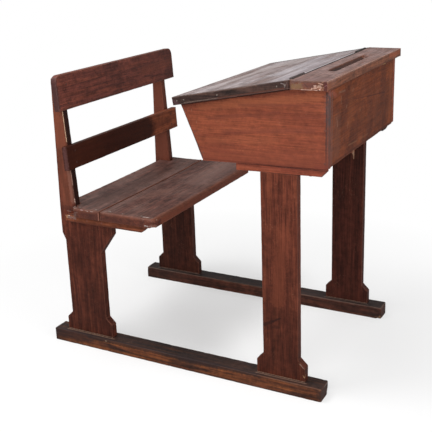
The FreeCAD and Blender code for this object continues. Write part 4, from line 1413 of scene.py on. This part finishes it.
@dataclass
class DeskTop:
    """Pen rail, lid panel and lippings."""

    underside: float = 763.0
    top: float = 784.0
    hinge: float = 736.0
    rear: float = 825.0
    half_width: float = 285.0
    slope: float = 10.2
    lid_thickness: float = 20.0
    lid_length: float = 304.6
    lid_gap: float = 1.5
    lipping: float = 9.0
    groove_half: float = 112.0
    groove_radius: float = 12.0
    groove_depth: float = 10.0
    runout: float = 60.0
    leaf_half: float = 38.1
    leaf_seat: float = 1.6
    hinge_centres: tuple[float, float] = (-236.0, 212.0)

    @property
    def lid_rear(self) -> float:
        """Place of the lid's hinged edge up its slope."""
        return -self.lid_gap / math.cos(math.radians(self.slope))

    @property
    def lid_lie(self) -> Lie:
        """Lie of the lid: the first axis runs up its slope to the hinges."""
        angle = math.radians(self.slope)
        start = Vector((self.hinge, 0, self.top)) - leaning(self.slope) * self.lid_thickness
        return Lie(tuple(start), Vector((math.cos(angle), 0, math.sin(angle))), Vector((0, 1, 0)))

    def groove_floor(self, u: np.ndarray, v: np.ndarray) -> np.ndarray:
        """Depth of the pen groove under the top of the rail.

        Args:
            u: Stations.
            v: Distances to the left.

        Returns:
            The depth at each point.
        """
        off = np.abs(u - (self.hinge + self.rear) / 2)
        beyond = np.maximum(0.0, np.abs(v) - self.groove_half)
        lift = self.runout - np.sqrt(np.maximum(0.0, self.runout ** 2 - beyond ** 2))
        across = np.clip(off / self.groove_radius, 0, 1)
        bowl = self.groove_radius * (1 - np.sqrt(1 - across ** 2))
        within = (off < self.groove_radius) & (beyond < self.runout)
        return np.where(within, np.maximum(0.0, self.groove_depth - bowl - lift), 0.0)

    def groove_seeds(self) -> list[tuple[float, float]]:
        """Points that give the groove its round section and its tapered ends."""
        centre = (self.hinge + self.rear) / 2
        offsets = [self.groove_radius * share
                   for share in (-1.02, -0.98, -0.92, -0.8, -0.62, -0.42, -0.2, 0.0)]
        offsets += [-offset for offset in offsets[:-1]]
        reach = int(self.groove_half + 36)
        return [(centre + offset, float(v)) for v in range(-reach, reach + 1, 4) for offset in offsets]

    def leaf_seats(self, edge: float, inward: float, ends: float) -> list[Corner]:
        """Corners of the hinge leaves' seats in one long edge.

        Args:
            edge: Place of that edge on the first axis.
            inward: Depth of the seats, with the sign of the way into the board.
            ends: Distance of the board's ends from the middle.

        Returns:
            The corners from right to left.
        """
        seats = []
        for centre in sorted(self.hinge_centres):
            low, high = centre - self.leaf_half, centre + self.leaf_half
            seats += [(edge, low), (edge + inward, low)] if low > 4.0 - ends else [(edge + inward, -ends)]
            seats += [(edge + inward, high), (edge, high)]
        return [Corner(u, v, 0.5) for u, v in seats]

    def seat_arris(self, edge: float) -> Arris:
        """Arris that clears the knuckles at the hinges.

        Args:
            edge: Place of the hinged edge.

        Returns:
            Function of a point of the outline.
        """

        def arris(u: float, v: float) -> tuple[float, float]:
            """Wide by a hinge, small elsewhere."""
            near = abs(u - edge) < self.leaf_seat + 0.5
            by_hinge = any(abs(v - centre) < self.leaf_half + 1 for centre in self.hinge_centres)
            return 0.6, (2.5 if near and by_hinge else 0.7 if near else 2.0)

        return arris

    def build_pen_rail(self) -> None:
        """Build the pen rail with its groove and its broken near end."""
        ends, height = self.half_width, self.top - self.underside
        outline = corners((self.hinge, -ends, 2.0), (self.rear, -ends, 2.4), (self.rear, ends, 2.4),
                          (self.hinge, ends, 2.0)) + self.leaf_seats(self.hinge, self.leaf_seat, ends)[::-1]

        def groove(u: np.ndarray, v: np.ndarray, w: np.ndarray) -> None:
            """Sink the top into the groove."""
            w -= np.where(w > height - 0.01, self.groove_floor(u, v), 0.0)

        fit(Board("pen_rail", Lie((0.0, 0.0, self.underside), *FLAT), outline, height,
                  arris_at=self.seat_arris(self.hinge), pitch=5.0, wall_pitch=2.6,
                  seeds=self.groove_seeds(), shape=groove, wear=0.8, hollow=0.25, seed=91), PEN_WOOD)

    def upright_rear(self, u: np.ndarray, _: np.ndarray, w: np.ndarray) -> None:
        """Slant the hinged edge so that it stands upright when the lid is down."""
        u -= growing(u, -60.0, -2.0) * (self.lid_thickness - w) * math.tan(math.radians(self.slope))

    def build_lid_panel(self) -> None:
        """Build the writing board."""
        rear, front, ends = self.lid_rear, -self.lid_length, self.half_width - self.lipping
        outline = [Corner(front, -ends, 1.0), *self.leaf_seats(rear, -self.leaf_seat, ends),
                   Corner(rear, ends, 1.0), Corner(front, ends, 1.0)]
        fit(Board("lid_panel", self.lid_lie, outline, self.lid_thickness, arris_at=self.seat_arris(rear),
                  shape=self.upright_rear, wear=0.7, hollow=0.4, seed=92), LID_WOOD, Body.LID)

    def build_lid_lipping(self, side: Side) -> None:
        """Build one lipping strip."""
        low, high = sorted((side.value * self.half_width, side.value * (self.half_width - self.lipping)))
        outline = rectangle(-self.lid_length, self.lid_rear, low, high)
        fit(Board(f"{side.word}_lid_lipping", self.lid_lie, outline, self.lid_thickness, arris=(1.8, 1.8),
                  pitch=4.0, wall_pitch=3.4, shape=self.upright_rear, wear=1.2, hollow=0.25,
                  seed=93 + side.value), side.pick(LIPPING_WOOD, FAR_LIPPING_WOOD), Body.LID)

    def build(self) -> None:
        """Build the desk top."""
        self.build_pen_rail()
        self.build_lid_panel()
        for side in Side:
            self.build_lid_lipping(side)


@dataclass
class Ironwork:
    """Hinges, nails, brads and screws, which keep their solids and get their finish."""

    hinge_words: tuple[str, ...] = ("hinge_rail_leaf", "hinge_lid_leaf", "hinge_pin")
    bare: tuple[str, ...] = ("seat_nails", "lipping_brads", "bottom_board_brads", "rail_leaf_screws",
                             "lid_leaf_screws")
    stained: tuple[str, ...] = ("cleat_nails", "box_corner_nails", "pen_rail_nails", "bearer_screws")
    darkened: tuple[str, ...] = ("back_rail_nails",)

    def dress(self, nodes: dict[str, bpy.types.Object]) -> None:
        """Give every metal piece its material.

        Args:
            nodes: The solids by name.
        """
        right, left = ([f"{side.word}_{word}" for word in self.hinge_words] for side in Side)
        for names, finish, word in ((left, HINGE_IRON, "hinge_iron"), (right, WORN_IRON, "worn_hinge_iron"),
                                    (self.bare, NAIL_STEEL, "bare_steel"),
                                    (self.stained, STAINED_STEEL, "stained_steel"),
                                    (self.darkened, DARK_STEEL, "darkened_steel")):
            material = finish.material(word)
            for name in names:
                for holder in nodes[name].material_slots:
                    holder.material = material
                log.info("%s: %s", name, material.name)


@dataclass(frozen=True)
class Lamp:
    """Soft square lamp: where it hangs and points, the length of its side in metres, its power in watts."""

    name: str
    place: Place
    target: Place
    size: float
    power: float

    def hang(self) -> None:
        """Hang the lamp."""
        data = bpy.data.lights.new(self.name, "AREA")
        data.size, data.energy = self.size, self.power
        made = place_in_scene(self.name, data)
        made.location = self.place
        aim = Vector(self.target) - Vector(self.place)
        made.rotation_euler = aim.to_track_quat("-Z", "Y").to_euler()
        made.visible_camera = False


@dataclass
class Studio:
    """Pale floor, soft light and the camera."""

    lamps: tuple[Lamp, ...] = (Lamp("key_lamp", (-0.72, -0.66, 2.55), (-0.05, 0, 0.4), 0.9, 34.0),
                               Lamp("fill_lamp", (0.9, -2.8, 1.6), (0.1, 0, 0.6), 2.0, 50.0),
                               Lamp("side_lamp", (3.0, -1.0, 1.5), (0, 0, 0.6), 2.0, 40.0))
    floor_half: float = 30.0
    floor_dark: float = 0.35
    floor_seen: float = 0.66
    floor_glow: float = 0.27
    white_from: tuple[float, float] = (0.1, 1.1)
    sky: float = 0.45
    camera_place: Place = (1409.322, -1893.154, 1069.418)
    right: Place = (0.879422, 0.474558, -0.037563)
    down: Place = (0.1067, -0.273398, -0.955965)
    forward: Place = (-0.46393, 0.836689, -0.291067)
    lens: float = 67.02
    shift: tuple[float, float] = (0.0251, -0.0598)

    def build_floor(self) -> None:
        """Lay the floor: it keeps shadows near the desk and goes white far from it."""
        bench = NodeBench("studio_floor_paint")
        seen = bench.node("LightPath", {}, "Is Camera Ray")
        dark, pale = ((grey, grey, grey, 1) for grey in (self.floor_dark, self.floor_seen))
        paint = bench.node("BsdfDiffuse", {"Color": bench.blend(seen, dark, pale)})
        white = {"Color": (1, 1, 1, 1)}
        glow = bench.node("Emission", {**white, "Strength": bench.times(seen, self.floor_glow)})
        near, far = self.white_from
        away = bench.node("MapRange", {0: bench.vector("LENGTH", bench.place, out=1), 1: near, 2: far})
        half = self.floor_half
        mesh = bpy.data.meshes.new("studio_floor")
        mesh.from_pydata([(-half, -half, 0), (half, -half, 0), (half, half, 0), (-half, half, 0)], [],
                         [(0, 1, 2, 3)])
        mesh.materials.append(bench.show(bench.node("MixShader", {
            0: bench.times(away, seen), 1: bench.node("AddShader", {0: paint, 1: glow}),
            2: bench.node("Emission", white)})))
        place_in_scene("studio_floor", mesh)

    def build_world(self) -> None:
        """Light all round, white where the camera sees it."""
        world = bpy.data.worlds.new("studio")
        bpy.context.scene.world = world
        world.use_nodes = True
        nodes, links = world.node_tree.nodes, world.node_tree.links
        back = nodes["Background"]
        back.inputs["Color"].default_value = (1, 1, 1, 1)
        level = nodes.new("ShaderNodeMapRange")
        level.inputs[3].default_value = self.sky
        level.inputs[4].default_value = 1.0
        links.new(nodes.new("ShaderNodeLightPath").outputs["Is Camera Ray"], level.inputs[0])
        links.new(level.outputs[0], back.inputs["Strength"])

    def build_camera(self) -> None:
        """Set the camera at the viewing angle."""
        data = bpy.data.cameras.new("studio_camera")
        data.lens, data.sensor_width, data.clip_end = self.lens, 36.0, 100.0
        data.shift_x, data.shift_y = self.shift
        made = place_in_scene("studio_camera", data)
        turn = Matrix((Vector(self.right), -Vector(self.down), -Vector(self.forward))).transposed().to_4x4()
        made.matrix_world = Matrix.Translation(to_metres(self.camera_place)) @ turn
        bpy.context.scene.camera = made

    def build(self) -> None:
        """Set up the studio."""
        self.build_floor()
        self.build_world()
        for lamp in self.lamps:
            lamp.hang()
        self.build_camera()
        bpy.context.scene.view_settings.view_transform = "Standard"


def place_in_scene(name: str, data: bpy.types.ID) -> bpy.types.Object:
    """Make an object of its mesh, lamp or camera and link it to the scene."""
    made = bpy.data.objects.new(name, data)
    bpy.context.scene.collection.objects.link(made)
    return made


def main() -> None:
    """Load the frame, build every sub-assembly around it and set up the studio."""
    logging.basicConfig(level=logging.INFO, format="%(message)s")
    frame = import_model()
    for assembly in (FloorFrame(), Seat(), BackRest(), BookBox(), DeskTop()):
        assembly.build()
    Ironwork().dress(frame["nodes"])
    Studio().build()


if __name__ == "__main__":
    main()
